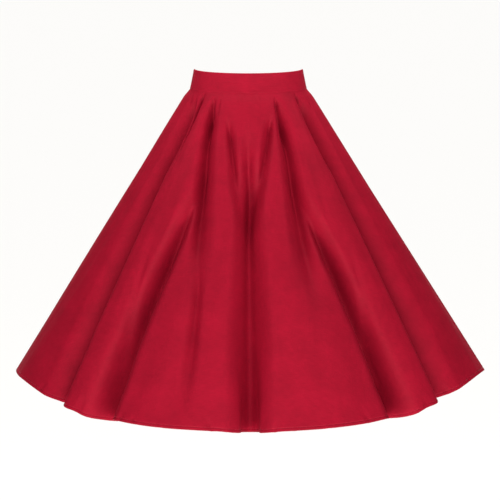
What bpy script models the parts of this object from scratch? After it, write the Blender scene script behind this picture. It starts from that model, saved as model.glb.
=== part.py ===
"""Circle skirt on a shaped waistband, filled out as it is when worn.

Metres, +Z up. The origin is the middle of the waist opening, level with the
waistband's top edge in front, and the front faces -Y. Angles are in degrees round the
skirt from the middle of the front, positive towards +X, so 90 is a side seam
and 180 the centre back. Every cloth piece is a closed wall.
"""
import math

import bmesh
import bpy
import numpy as np

# Outlines seen from above, as half widths along X and half depths along Y
WAIST_HALF_WIDTH = 0.1180
WAIST_HALF_DEPTH = 0.0905
SEAM_HALF_WIDTH = 0.1264
SEAM_HALF_DEPTH = 0.0966
HEM_HALF_WIDTH = 0.5225
HEM_HALF_DEPTH = 0.4000
HEM_SIDE_SHIFT = 0.0045
WAIST_BACK_DIP = 0.0215   # how much lower the waist lies at the centre back
WAIST_DIP_EASE = 0.06

# Waistband
BAND_HEIGHT = 0.0415
BAND_WALL = 0.0030
BAND_PROUD = 0.0006

# Skirt cloth
SKIRT_WALL = 0.0015
HEM_WALL = 0.0025
HEM_DEPTH = 0.0080
HIP_ROUNDING = 0.0032
HIP_ROUNDING_FALL = 0.03
SEAM_GAP = 0.0003
SIDE_SEAM = 90.0
CENTRE_BACK = 180.0

# Length of the cloth from the waist seam to the hem, at angles from the front
SKIRT_LENGTH = 0.7360
LENGTH_ROWS = (
    # angle, length
    (-180.0, SKIRT_LENGTH),
    (-125.0, 0.7380),
    (-92.0, 0.7397),
    (-72.0, 0.7324),
    (-46.0, 0.7437),
    (-28.0, 0.7382),
    (0.0, 0.7331),
    (28.0, 0.7363),
    (46.0, 0.7343),
    (72.0, 0.7243),
    (92.0, 0.7405),
    (125.0, 0.7380),
    (180.0, SKIRT_LENGTH),
)

# Folds. Angles are where the fold starts and ends, and ease is how early it turns
# from one to the other. Falls are shares of the way from the seam to the hem: where
# it starts, is full, fades and ends. Depth, the reach to each side and the laps are
# in millimetres at the hem. A lap is how far the lip on that side leans over the
# fold, from the fall in the column after it. Soft is how round that side is, and
# lean is how much of its depth the fold moves to the right.
FOLD_COLUMNS = ("name", "angle", "end_angle", "ease", "start", "full", "fade", "end",
                "depth", "left_reach", "right_reach", "left_lap", "right_lap", "lap_start",
                "left_soft", "right_soft", "lean")
FOLD_ROWS = (
    ("centre", -0.2, 0.0, 1.5, 0.04, 0.32, 9.0, 10.0, 88, 64, 64, 35, 36, 0.74, 0.0, 0.0, 0.0),
    ("valley_left", -21.0, -39.0, 2.4, 0.22, 0.66, 9.0, 10.0, 80, 51, 58, 0, 6, 0.90, 0.0, 0.20, 0.0),
    ("valley_right", 21.5, 39.7, 2.4, 0.26, 0.64, 9.0, 10.0, 78, 60, 46, 8, 0, 0.90, 0.15, 0.0, 0.0),
    ("tuck_left", -56.4, -50.0, 0.7, 0.0, 0.14, 9.0, 10.0, 66, 98, 50, 0, 52, 0.05, 0.0, 0.0, 0.0),
    ("tuck_right", 56.0, 50.8, 0.8, 0.0, 0.14, 9.0, 10.0, 64, 46, 103, 46, 0, 0.05, 0.0, 0.0, 0.0),
    ("upper_left", -33.7, -18.1, 1.5, 0.03, 0.12, 0.32, 0.66, 76, 43, 68, 0, 0, 0.0, 0.0, 0.0, -0.20),
    ("upper_right", 28.8, 22.0, 1.5, 0.0, 0.16, 0.34, 0.69, 80, 69, 52, 0, 0, 0.0, 0.0, 0.0, 0.10),
    ("side_back_left", -113.0, -108.0, 1.5, 0.02, 0.30, 9.0, 10.0, 60, 50, 96, 44, 0, 0.10, 0.0, 0.0, 0.0),
    ("side_back_right", 111.0, 106.0, 1.5, 0.03, 0.34, 9.0, 10.0, 58, 100, 50, 0, 42, 0.15, 0.0, 0.0, 0.0),
    ("back_left", -136.0, -132.0, 1.5, 0.12, 0.60, 9.0, 10.0, 70, 60, 80, 18, 0, 0.45, 0.0, 0.0, 0.0),
    ("back_right", 134.0, 130.0, 1.5, 0.20, 0.66, 9.0, 10.0, 66, 80, 60, 0, 18, 0.50, 0.0, 0.0, 0.0),
    ("inner_back_left", -159.0, -157.0, 1.5, 0.24, 0.70, 9.0, 10.0, 70, 78, 68, 10, 8, 0.60, 0.0, 0.0, 0.0),
    ("inner_back_right", 160.0, 156.0, 1.5, 0.22, 0.68, 9.0, 10.0, 74, 70, 82, 8, 12, 0.60, 0.0, 0.0, 0.0),
)
FOLDS = [dict(zip(FOLD_COLUMNS, row)) for row in FOLD_ROWS]
WAIST_SCALE = 0.28        # a fold's width at the seam, as a share of its width at the hem
SHOULDER_SHARE = 0.20     # part of the depth that spreads out as soft shoulders
SHOULDER_REACH = 2.4      # how many reaches the shoulders go
BOTTOM_ROUNDING = 0.20    # how round the bottom of a fold is, in reaches
BOTTOM_SHARPNESS = 2.0    # the power that its sides rise with
LIP_PLACE = 0.60          # the lip, in reaches from the fold's bottom
LIP_INNER = 0.36          # its width towards the fold, in reaches
LIP_OUTER = 2.30          # its width away from the fold, in reaches
HANG = 0.21               # a fold hangs this much lower for each part that it lies in

# Rows of points down the skirt, as shares of its length, and columns round it
HEM_FALL = 1.0 - HEM_DEPTH / SKIRT_LENGTH
FRONT_FALLS = (0.0, 0.012, 0.03, 0.07, 0.11, 0.15, 0.195, 0.24, 0.29, 0.35, 0.42, 0.50,
               0.58, 0.67, 0.76, 0.84, 0.92, HEM_FALL, 1.0)
BACK_FALLS = (0.0, 0.012, 0.03, 0.07, 0.15, 0.24, 0.35, 0.50, 0.67, 0.84, HEM_FALL, 1.0)
FRONT_COLUMNS = 102
BACK_COLUMNS = 48
FINE_STEPS = 1440
SPACING_FALLS = (0.15, 0.35, 0.6, 1.0)
BEND_WEIGHT = 1.8
LINE_GAP = 3.0            # least angle between neighbouring columns of points on folds
TURN_STEP = 0.01          # small steps that give a surface's slope, in degrees and in falls
FALL_STEP = 0.0005
SHARP_EDGE = 50.0

# Rows down the waistband: share of its height, faces outside and inside its middle outline
BAND_ROWS = (
    (1.00, 0.0000, BAND_WALL - 2.0 * BAND_PROUD),
    (0.95, BAND_PROUD, BAND_WALL - BAND_PROUD),
    (0.50, BAND_PROUD, BAND_WALL - BAND_PROUD),
    (0.03, BAND_PROUD, BAND_WALL - BAND_PROUD),
    (0.00, 0.0000, BAND_WALL - BAND_PROUD),
)
BAND_FRONT_COLUMNS = 36
BAND_BACK_COLUMNS = 18

# Concealed zip at the centre back, distances down from the top of the waistband
ZIP_TOP = 0.0030
ZIP_LENGTH = 0.1800
ZIP_SLIT = 0.0016
ZIP_SLIT_EASE = 0.0200
TAPE_WIDTH = 0.0110
TAPE_WALL = 0.0010
TAPE_DEPTH = 0.0033
COIL_WIDTH = 0.0064
COIL_WALL = 0.0018
COIL_TOP = 0.0150
ZIP_STATIONS = (0.020, 0.0412, 0.0425, 0.0508, 0.0640, 0.0940, 0.1300)
TAPE_COLUMNS = 3
SLIDER_DROP = 0.0090
SLIDER_WIDTH = 0.0062
SLIDER_HEIGHT = 0.0090
SLIDER_THICKNESS = 0.0036
SLIDER_TAPER = 0.90
NECK_WIDTH = 0.0010
NECK_OVERLAP = 0.0010
ARCH_HALF_HEIGHT = 0.00275
ARCH_POST = 0.0010
ARCH_RISE = 0.0034
ARCH_CHAMFER = 0.0007
HINGE_RISE = 0.0011
PULL_LENGTH = 0.0200
PULL_WIDTH = 0.0050
PULL_NECK_WIDTH = 0.0042
PULL_NECK_LENGTH = 0.0058
PULL_WALL = 0.0010
PULL_HOLE_HALF_WIDTH = 0.0011
PULL_HOLE_LENGTH = 0.0038
PULL_ROUND_POINTS = 9

MILLIMETRE = 0.001


def clear_scene():
    for item in list(bpy.data.objects):
        bpy.data.objects.remove(item, do_unlink=True)


def make_material(name, colour, roughness, metallic=0.0):
    material = bpy.data.materials.new(name)
    material.use_nodes = True
    shader = material.node_tree.nodes["Principled BSDF"]
    shader.inputs["Base Color"].default_value = (*colour, 1.0)
    shader.inputs["Roughness"].default_value = roughness
    shader.inputs["Metallic"].default_value = metallic
    return material


def smooth(low, high, value):
    """Ease from 0 at low to 1 at high."""
    share = np.clip((value - low) / (high - low), 0.0, 1.0)
    return share * share * (3.0 - 2.0 * share)


def dome(value):
    """1 in the middle, 0 from -1 and 1 outward, level at both."""
    return np.cos(np.clip(value, -1.0, 1.0) * math.pi / 2.0) ** 2


def cleft(value):
    """1 in the middle, 0 from 1 outward, with straight sides and a tight bottom."""
    away = (np.hypot(value, BOTTOM_ROUNDING) - BOTTOM_ROUNDING) / (1.0 - BOTTOM_ROUNDING)
    return np.clip(1.0 - away, 0.0, 1.0) ** BOTTOM_SHARPNESS


def turned(angle):
    """The same angle between -180 and 180."""
    return (angle + 180.0) % 360.0 - 180.0


def slant_length(angle):
    """Length of the cloth from the seam to the hem at an angle."""
    place = turned(angle)
    length = np.full_like(place, LENGTH_ROWS[0][1])
    for (low, before), (high, after) in zip(LENGTH_ROWS, LENGTH_ROWS[1:]):
        length = length + (after - before) * smooth(low, high, place)
    return length


def waist_dip(angle):
    """How much lower the waist lies at an angle: nothing in front, most at the centre back."""
    back = -np.cos(np.radians(angle))
    return WAIST_BACK_DIP * (back + np.hypot(back, WAIST_DIP_EASE)) / 2.0


def skirt_outline(fall):
    """Half width and half depth of the unfolded skirt at a fall."""
    width = SEAM_HALF_WIDTH + HIP_ROUNDING + (HEM_HALF_WIDTH - SEAM_HALF_WIDTH - HIP_ROUNDING) * fall
    depth = SEAM_HALF_DEPTH + HIP_ROUNDING + (HEM_HALF_DEPTH - SEAM_HALF_DEPTH - HIP_ROUNDING) * fall
    tucked = HIP_ROUNDING * (1.0 - smooth(0.0, HIP_ROUNDING_FALL, fall))
    return width - tucked, depth - tucked


def round_speed(angle, fall):
    """Metres along the unfolded skirt for each radian of angle."""
    width, depth = skirt_outline(fall)
    return np.hypot(width * np.cos(np.radians(angle)), depth * np.sin(np.radians(angle)))


def unfolded_point(angle, fall, inward):
    """A point of the skirt before its folds, moved level towards the inside."""
    across, ahead = np.sin(np.radians(angle)), -np.cos(np.radians(angle))
    width, depth = skirt_outline(fall)
    run = np.hypot((HEM_HALF_WIDTH - SEAM_HALF_WIDTH) * across,
                   (HEM_HALF_DEPTH - SEAM_HALF_DEPTH) * ahead)
    drop = np.sqrt(slant_length(angle) ** 2 - run ** 2)
    out_x, out_y = across * depth, ahead * width
    scale = inward / np.hypot(out_x, out_y)
    top = -BAND_HEIGHT - SEAM_GAP - waist_dip(angle)
    return np.stack([width * across - out_x * scale + HEM_SIDE_SHIFT * fall,
                     depth * ahead - out_y * scale,
                     top - drop * fall - HANG * inward], axis=-1)


def fold_line(fold, fall):
    """The angle of a fold's bottom at a fall."""
    way = np.clip((fall - fold["start"]) / (min(fold["end"], 1.0) - fold["start"]), 0.0, 1.0)
    return fold["end_angle"] + (fold["angle"] - fold["end_angle"]) * (1.0 - way) ** fold["ease"]


def fold_way(fold, angle, fall):
    """Where a point lies across a fold, in metres, the fold's scale and its strength."""
    centre = fold_line(fold, fall)
    across = np.radians(turned(angle - centre)) * round_speed(centre, fall)
    scale = (WAIST_SCALE + (1.0 - WAIST_SCALE) * fall) * MILLIMETRE
    strength = (smooth(fold["start"], fold["full"], fall)
                * (1.0 - smooth(fold["fade"], fold["end"], fall)))
    return across, scale, strength


def fold_lap(fold, angle, fall):
    """How far the lips of a fold take the cloth along the skirt."""
    across, scale, strength = fold_way(fold, angle, fall)
    on_left = across < 0.0
    away = np.abs(across) / (np.where(on_left, fold["left_reach"], fold["right_reach"]) * scale)
    lap = np.where(on_left, fold["left_lap"], -fold["right_lap"]) * scale
    lip = np.where(away < LIP_PLACE, dome((away - LIP_PLACE) / LIP_INNER),
                   dome((away - LIP_PLACE) / LIP_OUTER))
    share = np.clip((fall - fold["lap_start"]) / (1.0 - fold["lap_start"]), 0.0, 1.0)
    return lap * lip * strength * share


def fold_depth(fold, angle, fall):
    """How far a fold takes the cloth in."""
    across, scale, strength = fold_way(fold, angle, fall)
    on_left = across < 0.0
    away = np.abs(across) / (np.where(on_left, fold["left_reach"], fold["right_reach"]) * scale)
    soft = np.where(on_left, fold["left_soft"], fold["right_soft"])
    tight = (1.0 - SHOULDER_SHARE) * cleft(away) + SHOULDER_SHARE * dome(away / SHOULDER_REACH)
    trough = (1.0 - soft) * tight + soft * dome(away)
    return fold["depth"] * scale * strength * trough


def skirt_point(angle, fall):
    """A point on the outer face of the folded skirt."""
    angle = np.asarray(angle, dtype=float)
    fall = np.asarray(fall, dtype=float)
    speed = round_speed(angle, fall)
    laps = [fold_lap(fold, angle, fall) for fold in FOLDS]
    along = sum(laps)
    inward, leaning = 0.0, 0.0
    for fold, own_lap in zip(FOLDS, laps):
        depth = fold_depth(fold, angle + np.degrees((along - own_lap) / speed), fall)
        inward = inward + depth
        leaning = leaning + fold["lean"] * depth
    return unfolded_point(angle + np.degrees((along + leaning) / speed), fall, inward)


def face_out(surface, angle, level):
    """Unit direction out of a surface that is given by a function."""
    below = np.clip(level + FALL_STEP, 0.0, 1.0)
    above = np.clip(level - FALL_STEP, 0.0, 1.0)
    round_way = surface(angle + TURN_STEP, level) - surface(angle - TURN_STEP, level)
    down_way = surface(angle, below) - surface(angle, above)
    out = np.cross(down_way, round_way)
    return out / np.linalg.norm(out, axis=-1, keepdims=True)


def band_point(angle, share):
    """A point on the waistband's middle outline, share 0 at its foot and 1 at its top."""
    width = SEAM_HALF_WIDTH + (WAIST_HALF_WIDTH - SEAM_HALF_WIDTH) * share
    depth = SEAM_HALF_DEPTH + (WAIST_HALF_DEPTH - SEAM_HALF_DEPTH) * share
    height = BAND_HEIGHT * (share - 1.0) - waist_dip(angle)
    return np.stack([width * np.sin(np.radians(angle)), -depth * np.cos(np.radians(angle)),
                     height], axis=-1)


def band_face_out(angle, share):
    return -face_out(band_point, angle, share)


def trimmed(surface, angle, level, gap, side):
    """An edge's angle, moved back by a gap in metres along the surface."""
    step = surface(angle + TURN_STEP, level) - surface(angle - TURN_STEP, level)
    return angle + side * gap * 2.0 * TURN_STEP / np.linalg.norm(step, axis=-1)


def grid_angles(hem_angles, fall):
    """Angles of the columns at a fall: from their hem angles, they run along the folds."""
    result = np.zeros_like(hem_angles)
    for side in (-1.0, 1.0):
        folds = [fold for fold in FOLDS if fold["end_angle"] * side > 0.0]
        keys = [(0.0, 0.0)]
        for fold in sorted(folds, key=lambda each: abs(each["end_angle"])):
            if keys[-1][0] < SIDE_SEAM < abs(fold["end_angle"]):
                keys.append((SIDE_SEAM, SIDE_SEAM))
            line = max(side * float(fold_line(fold, fall)), keys[-1][1] + LINE_GAP)
            keys.append((abs(fold["end_angle"]), line))
        keys.append((CENTRE_BACK, CENTRE_BACK))
        at_hem, here = zip(*keys)
        result = result + np.where(hem_angles * side > 0.0,
                                   side * np.interp(np.abs(hem_angles), at_hem, here), 0.0)
    return result


def even_columns(first, last, count):
    """Hem angles between two edges, closer where the folded cloth bends, one on each fold."""
    fine = np.linspace(first, last, FINE_STEPS)
    weight = np.zeros(FINE_STEPS - 1)
    for fall in SPACING_FALLS:
        steps = np.diff(skirt_point(grid_angles(fine, fall), fall), axis=0)
        length = np.linalg.norm(steps, axis=1)
        heading = np.unwrap(np.arctan2(steps[:, 1], steps[:, 0]))
        bend = np.abs(np.gradient(heading))
        weight += length / length.sum() + BEND_WEIGHT * bend / bend.sum()
    reached = np.concatenate([[0.0], np.cumsum(weight)])
    columns = np.interp(np.linspace(0.0, reached[-1], count), reached, fine)
    for fold in FOLDS:
        if first < fold["end_angle"] < last:
            nearest = np.argmin(np.abs(columns - fold["end_angle"]))
            columns[nearest] = fold["end_angle"]
    return columns


def wall_object(name, outer, inner, material):
    """A closed wall from two grids of points, rows down and columns to the right."""
    rows, columns = outer.shape[:2]
    skin = rows * columns
    points = np.concatenate([outer.reshape(skin, 3), inner.reshape(skin, 3)])

    def corner(row, column, side):
        return side * skin + row * columns + column

    faces = []
    for row in range(rows - 1):
        for column in range(columns - 1):
            for side in (0, 1):
                above_left = corner(row, column, side)
                above_right = corner(row, column + 1, side)
                below_right = corner(row + 1, column + 1, side)
                below_left = corner(row + 1, column, side)
                halves = [(above_left, below_left, below_right),
                          (above_left, below_right, above_right)]
                faces += [half if side == 0 else half[::-1] for half in halves]
    loop = [(0, column) for column in range(columns - 1)]
    loop += [(row, columns - 1) for row in range(rows - 1)]
    loop += [(rows - 1, column) for column in range(columns - 1, 0, -1)]
    loop += [(row, 0) for row in range(rows - 1, 0, -1)]
    for here, ahead in zip(loop, loop[1:] + loop[:1]):
        faces.append((corner(*here, 0), corner(*ahead, 0), corner(*ahead, 1), corner(*here, 1)))
    mesh = bpy.data.meshes.new(name)
    mesh.from_pydata([tuple(point) for point in points], [], faces)
    mesh.shade_smooth()
    mesh.set_sharp_from_angle(angle=math.radians(SHARP_EDGE))
    mesh.materials.append(material)
    item = bpy.data.objects.new(name, mesh)
    bpy.context.collection.objects.link(item)
    return item


def back_slit(distance):
    """Width of the slit at the centre back, a distance down from the top."""
    closed = smooth(ZIP_LENGTH - ZIP_SLIT_EASE, ZIP_LENGTH, distance)
    return SEAM_GAP + (ZIP_SLIT - SEAM_GAP) * (1.0 - closed)


def at_centre_back(angle):
    return math.isclose(abs(angle), CENTRE_BACK)


def skirt_panel(name, left_edge, right_edge, columns, falls, material):
    """One skirt panel between two seams, with its hem turned up inside."""
    angles = even_columns(left_edge, right_edge, columns)
    falls = np.array(falls)
    grid_fall = np.repeat(falls[:, None], columns, axis=1)
    grid_angle = np.array([grid_angles(angles, fall) for fall in falls])
    for column, side in ((0, 1.0), (-1, -1.0)):
        edge = grid_angle[:, column]
        gap = SEAM_GAP
        if at_centre_back(edge[0]):
            gap = back_slit(BAND_HEIGHT + falls * slant_length(edge))
        grid_angle[:, column] = trimmed(skirt_point, edge, falls, gap / 2.0, side)
    outer = skirt_point(grid_angle, grid_fall)
    out = face_out(skirt_point, grid_angle, grid_fall)
    wall = np.where(grid_fall >= HEM_FALL, HEM_WALL, SKIRT_WALL)[..., None]
    return wall_object(name, outer, outer - out * wall, material)


def band_piece(name, left_edge, right_edge, columns, material):
    """One piece of the doubled waistband."""
    angles = np.linspace(left_edge, right_edge, columns)
    rows = np.array(BAND_ROWS)
    grid_angle, share = np.meshgrid(angles, rows[:, 0])
    for column, side in ((0, 1.0), (-1, -1.0)):
        edge = grid_angle[:, column]
        gap = ZIP_SLIT if at_centre_back(edge[0]) else SEAM_GAP
        grid_angle[:, column] = trimmed(band_point, edge, rows[:, 0], gap / 2.0, side)
    middle = band_point(grid_angle, share)
    out = band_face_out(grid_angle, share)
    proud = rows[:, 1][:, None, None]
    behind = rows[:, 2][:, None, None]
    return wall_object(name, middle + out * proud, middle - out * behind, material)


def back_point(angle, distance):
    """The cloth near the centre back: its outer face and the way out of it.

    The distance is measured down from the waistband's top edge.
    """
    share = np.clip(1.0 - distance / BAND_HEIGHT, 0.0, 1.0)
    fall = np.maximum(distance - BAND_HEIGHT, 0.0) / slant_length(angle)
    on_band = (distance <= BAND_HEIGHT)[..., None]
    point = np.where(on_band, band_point(angle, share), skirt_point(angle, fall))
    out = np.where(on_band, band_face_out(angle, share), face_out(skirt_point, angle, fall))
    return point, out


def zip_strip(name, left, right, top, wall, material):
    """A strip behind the slit, between two places across, in metres from the centre back."""
    stations = [each for each in ZIP_STATIONS if each > top]
    distances = np.array([top] + stations + [ZIP_TOP + ZIP_LENGTH])
    place, distance = np.meshgrid(np.linspace(left, right, TAPE_COLUMNS), distances)
    middle = np.full_like(place, CENTRE_BACK)
    degree = back_point(middle + 0.5, distance)[0] - back_point(middle - 0.5, distance)[0]
    angle = middle - place / np.linalg.norm(degree, axis=-1)
    point, out = back_point(angle, distance)
    front = point - out * TAPE_DEPTH
    return wall_object(name, front, front - out * wall, material)


def prism_object(name, outlines, half_width, material):
    """Outlines in the plane across X, given as (out, up) points, joined into one prism.

    The first outline is the outer one, and each further one is a hole in it.
    """
    builder = bmesh.new()
    edges = []
    for outline in outlines:
        corners = [builder.verts.new((-half_width, out, up)) for out, up in outline]
        edges += [builder.edges.new((corners[i - 1], corners[i])) for i in range(len(corners))]
    side = bmesh.ops.triangle_fill(builder, edges=edges, use_beauty=True)
    faces = [item for item in side["geom"] if isinstance(item, bmesh.types.BMFace)]
    moved = bmesh.ops.extrude_face_region(builder, geom=faces)
    corners = [item for item in moved["geom"] if isinstance(item, bmesh.types.BMVert)]
    bmesh.ops.translate(builder, verts=corners, vec=(2.0 * half_width, 0.0, 0.0))
    bmesh.ops.recalc_face_normals(builder, faces=builder.faces)
    mesh = bpy.data.meshes.new(name)
    builder.to_mesh(mesh)
    builder.free()
    mesh.materials.append(material)
    item = bpy.data.objects.new(name, mesh)
    bpy.context.collection.objects.link(item)
    return item


def slider_place():
    """Where the slider's neck meets the cloth's outer face, and how far the face leans."""
    lean = math.atan2(SEAM_HALF_DEPTH - WAIST_HALF_DEPTH, BAND_HEIGHT)
    share = 1.0 - SLIDER_DROP / BAND_HEIGHT
    foot = band_point(np.array(CENTRE_BACK), np.array(share))
    out = np.array([0.0, math.cos(lean), math.sin(lean)])
    return foot + out * BAND_PROUD, lean


def make_slider(metal):
    """Slider behind the slit, its neck, and the arch that holds the pull."""
    foot, lean = slider_place()
    behind = -(BAND_WALL + SEAM_GAP)
    root = behind - NECK_OVERLAP
    reach = ARCH_HALF_HEIGHT
    corner = reach - ARCH_CHAMFER
    side = ARCH_RISE - ARCH_CHAMFER
    arch_outline = [(root, -reach), (side, -reach), (ARCH_RISE, -corner),
                    (ARCH_RISE, corner), (side, reach), (root, reach)]
    inside = reach - ARCH_POST
    under = ARCH_RISE - ARCH_POST
    arch_hole = [(0.0, -inside), (under, -inside), (under, inside), (0.0, inside)]
    arch = prism_object("zip_slider_arch", [arch_outline, arch_hole], NECK_WIDTH / 2.0, metal)
    arch.hide_render = True
    arch.display_type = "WIRE"
    half = SLIDER_HEIGHT / 2.0
    back = behind - SLIDER_THICKNESS
    body_outline = [(behind, half), (back, half * SLIDER_TAPER),
                    (back, -half * SLIDER_TAPER), (behind, -half)]
    body = prism_object("zip_slider", [body_outline], SLIDER_WIDTH / 2.0, metal)
    for item in (arch, body):
        item.location = foot
        item.rotation_euler = (lean, 0.0, 0.0)
    union = body.modifiers.new("arch", "BOOLEAN")
    union.operation = "UNION"
    union.object = arch
    return body


def make_pull(metal):
    """Pull tab with a slot round the arch; its origin is on the hinge."""
    foot, lean = slider_place()
    bar = PULL_WALL / 2.0
    neck = PULL_NECK_WIDTH / 2.0
    outer = [(-neck, bar), (neck, bar), (neck, -PULL_NECK_LENGTH)]
    radius = PULL_WIDTH / 2.0
    for turn in np.linspace(0.0, math.pi, PULL_ROUND_POINTS):
        outer.append((radius * math.cos(turn), -PULL_LENGTH + radius - radius * math.sin(turn)))
    outer.append((-neck, -PULL_NECK_LENGTH))
    hole = PULL_HOLE_HALF_WIDTH
    slot = [(-hole, -bar), (hole, -bar), (hole, -PULL_HOLE_LENGTH), (-hole, -PULL_HOLE_LENGTH)]
    pull = prism_object("zip_pull", [outer, slot], bar, metal)
    for vertex in pull.data.vertices:
        thick, across, up = vertex.co
        vertex.co = (across, thick, up)
    pull.data.flip_normals()
    pull.location = foot + np.array([0.0, math.cos(lean), math.sin(lean)]) * HINGE_RISE
    pull.rotation_euler = (lean, 0.0, 0.0)
    return pull


def main():
    clear_scene()
    sateen = make_material("red sateen", (0.46, 0.012, 0.035), 0.55)
    tape = make_material("woven tape", (0.36, 0.010, 0.030), 0.85)
    nylon = make_material("nylon coil", (0.40, 0.012, 0.030), 0.45)
    metal = make_material("painted metal", (0.42, 0.012, 0.030), 0.30, 0.6)

    skirt_panel("skirt_front", -SIDE_SEAM, SIDE_SEAM, FRONT_COLUMNS, FRONT_FALLS, sateen)
    skirt_panel("skirt_back_right", SIDE_SEAM, CENTRE_BACK, BACK_COLUMNS, BACK_FALLS, sateen)
    skirt_panel("skirt_back_left", -CENTRE_BACK, -SIDE_SEAM, BACK_COLUMNS, BACK_FALLS, sateen)
    band_piece("waistband_front", -SIDE_SEAM, SIDE_SEAM, BAND_FRONT_COLUMNS, sateen)
    band_piece("waistband_back_right", SIDE_SEAM, CENTRE_BACK, BAND_BACK_COLUMNS, sateen)
    band_piece("waistband_back_left", -CENTRE_BACK, -SIDE_SEAM, BAND_BACK_COLUMNS, sateen)

    tape_inner = COIL_WIDTH / 2.0 + SEAM_GAP
    tape_outer = tape_inner + TAPE_WIDTH
    zip_strip("zip_tape_right", tape_outer, tape_inner, ZIP_TOP, TAPE_WALL, tape)
    zip_strip("zip_tape_left", -tape_inner, -tape_outer, ZIP_TOP, TAPE_WALL, tape)
    zip_strip("zip_coil", COIL_WIDTH / 2.0, -COIL_WIDTH / 2.0, COIL_TOP, COIL_WALL, nylon)
    make_slider(metal)
    make_pull(metal)


main()
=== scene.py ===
# %% [markdown]
# # Dressing a red circle skirt
# A circle skirt is cut from parts of a ring of cloth, so it fits the waist at the
# top and falls in deep flutes at the hem. The measured solids of this one come in
# as a fixed frame. Here each of them gets the cloth it stands for: a thin shell with
# the same folds and finer ones, then the creases, the hem's stitches and the zip.
#
# The frame is loaded first, because every later piece is placed on it.
# %% Load the frame
import math

import bpy
import numpy as np
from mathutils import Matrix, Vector


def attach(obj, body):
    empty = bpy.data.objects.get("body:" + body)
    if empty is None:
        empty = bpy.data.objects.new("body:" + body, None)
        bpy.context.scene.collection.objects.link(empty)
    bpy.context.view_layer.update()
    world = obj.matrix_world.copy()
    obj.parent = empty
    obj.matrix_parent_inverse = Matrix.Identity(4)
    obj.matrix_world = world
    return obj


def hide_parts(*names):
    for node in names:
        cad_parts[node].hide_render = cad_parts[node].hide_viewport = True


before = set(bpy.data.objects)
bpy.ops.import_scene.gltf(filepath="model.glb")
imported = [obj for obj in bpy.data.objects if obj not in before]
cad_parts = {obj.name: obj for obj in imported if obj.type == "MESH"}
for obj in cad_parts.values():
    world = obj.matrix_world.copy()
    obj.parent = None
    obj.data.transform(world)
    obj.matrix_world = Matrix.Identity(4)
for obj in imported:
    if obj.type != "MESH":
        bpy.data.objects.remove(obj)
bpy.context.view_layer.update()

BODY = "skirt"
PULL_BODY = "zip_pull"
MILLIMETRE = 0.001
print("pieces of the frame:", ", ".join(sorted(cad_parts)))

# %% [markdown]
# ## Camera
# The photograph was taken with a long lens from a little above the waist. That is
# why the waistband's edge sags between its ends and the hem bows downwards. A long
# lens far away keeps the two sides of the skirt almost straight. The focal length
# is given in pixels of the photograph, since that is how it was measured, and one
# line turns it into the millimetres that a Blender camera wants.
# %% Camera
CAMERA_PLACE = (0.0036, -5.2000, 0.5700)
CAMERA_AIM = (0.0036, 0.0000, -0.4012)
PHOTO_PIXELS = 500.0
FOCAL_PIXELS = 2397.4
SENSOR_MM = 36.0


def aimed(place, aim):
    """The rotation that turns a camera or a lamp at a place towards an aim."""
    return (Vector(aim) - Vector(place)).to_track_quat("-Z", "Y").to_euler()


camera_data = bpy.data.cameras.new("photo_camera")
camera_data.sensor_width = SENSOR_MM
camera_data.lens = FOCAL_PIXELS / PHOTO_PIXELS * SENSOR_MM
camera = bpy.data.objects.new("photo_camera", camera_data)
camera.location = CAMERA_PLACE
camera.rotation_euler = aimed(CAMERA_PLACE, CAMERA_AIM)
bpy.context.collection.objects.link(camera)
bpy.context.scene.camera = camera
print("lens:", round(camera_data.lens, 1), "mm")

# %% [markdown]
# ## The skirt's own sizes
# These are the sizes that the solids were made from, in metres and degrees. The
# cloth has to lie on the solids, so they are stated again. Seen from above, the
# skirt grows from a small oval at the waist seam to a large one at the hem, and
# the cloth is nearly equally long all round, as a circle cut makes it. It is a
# little longer where a fold takes it in, so that the hem stays level there. Only
# beside the two tucks is it 10 to 13 mm longer here than on the solids, as the
# corners of the hem in the photograph ask.
# %% Sizes of the skirt
WAIST_HALF_WIDTH = 0.1180
WAIST_HALF_DEPTH = 0.0905
SEAM_HALF_WIDTH = 0.1264
SEAM_HALF_DEPTH = 0.0966
HEM_HALF_WIDTH = 0.5225
HEM_HALF_DEPTH = 0.4000
HEM_SIDE_SHIFT = 0.0045   # the hem swings this far to one side
WAIST_BACK_DIP = 0.0215   # the waistband lies this much lower at the centre back
WAIST_DIP_EASE = 0.06     # how softly that dip begins at the sides
BAND_HEIGHT = 0.0415
HIP_ROUNDING = 0.0032     # the cloth springs out this far just below the waist seam
HIP_ROUNDING_FALL = 0.03
SEAM_GAP = 0.0003         # between the solids, and between band and skirt
CLOSED_SEAM = -0.0002     # sewn edges press on each other, so no light comes through
HANG = 0.21               # cloth that a fold takes in hangs lower, by this share of it
SIDE_SEAM = 90.0
CENTRE_BACK = 180.0

SKIRT_LENGTH = 0.7360
LENGTH_ROWS = (
    # angle round the body, length of the cloth from the waist seam to the hem
    (-180.0, SKIRT_LENGTH),
    (-125.0, 0.7380),
    (-92.0, 0.7397),
    (-72.0, 0.7324),
    (-48.0, 0.7450),
    (-41.0, 0.7530),
    (-33.0, 0.7385),
    (-8.0, 0.7331),
    (0.0, 0.7370),
    (8.0, 0.7331),
    (33.0, 0.7365),
    (41.0, 0.7480),
    (48.0, 0.7380),
    (72.0, 0.7243),
    (92.0, 0.7405),
    (125.0, 0.7380),
    (180.0, SKIRT_LENGTH),
)
print("waist round its edge:", round(math.pi * (WAIST_HALF_WIDTH + WAIST_HALF_DEPTH), 3), "m")

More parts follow.
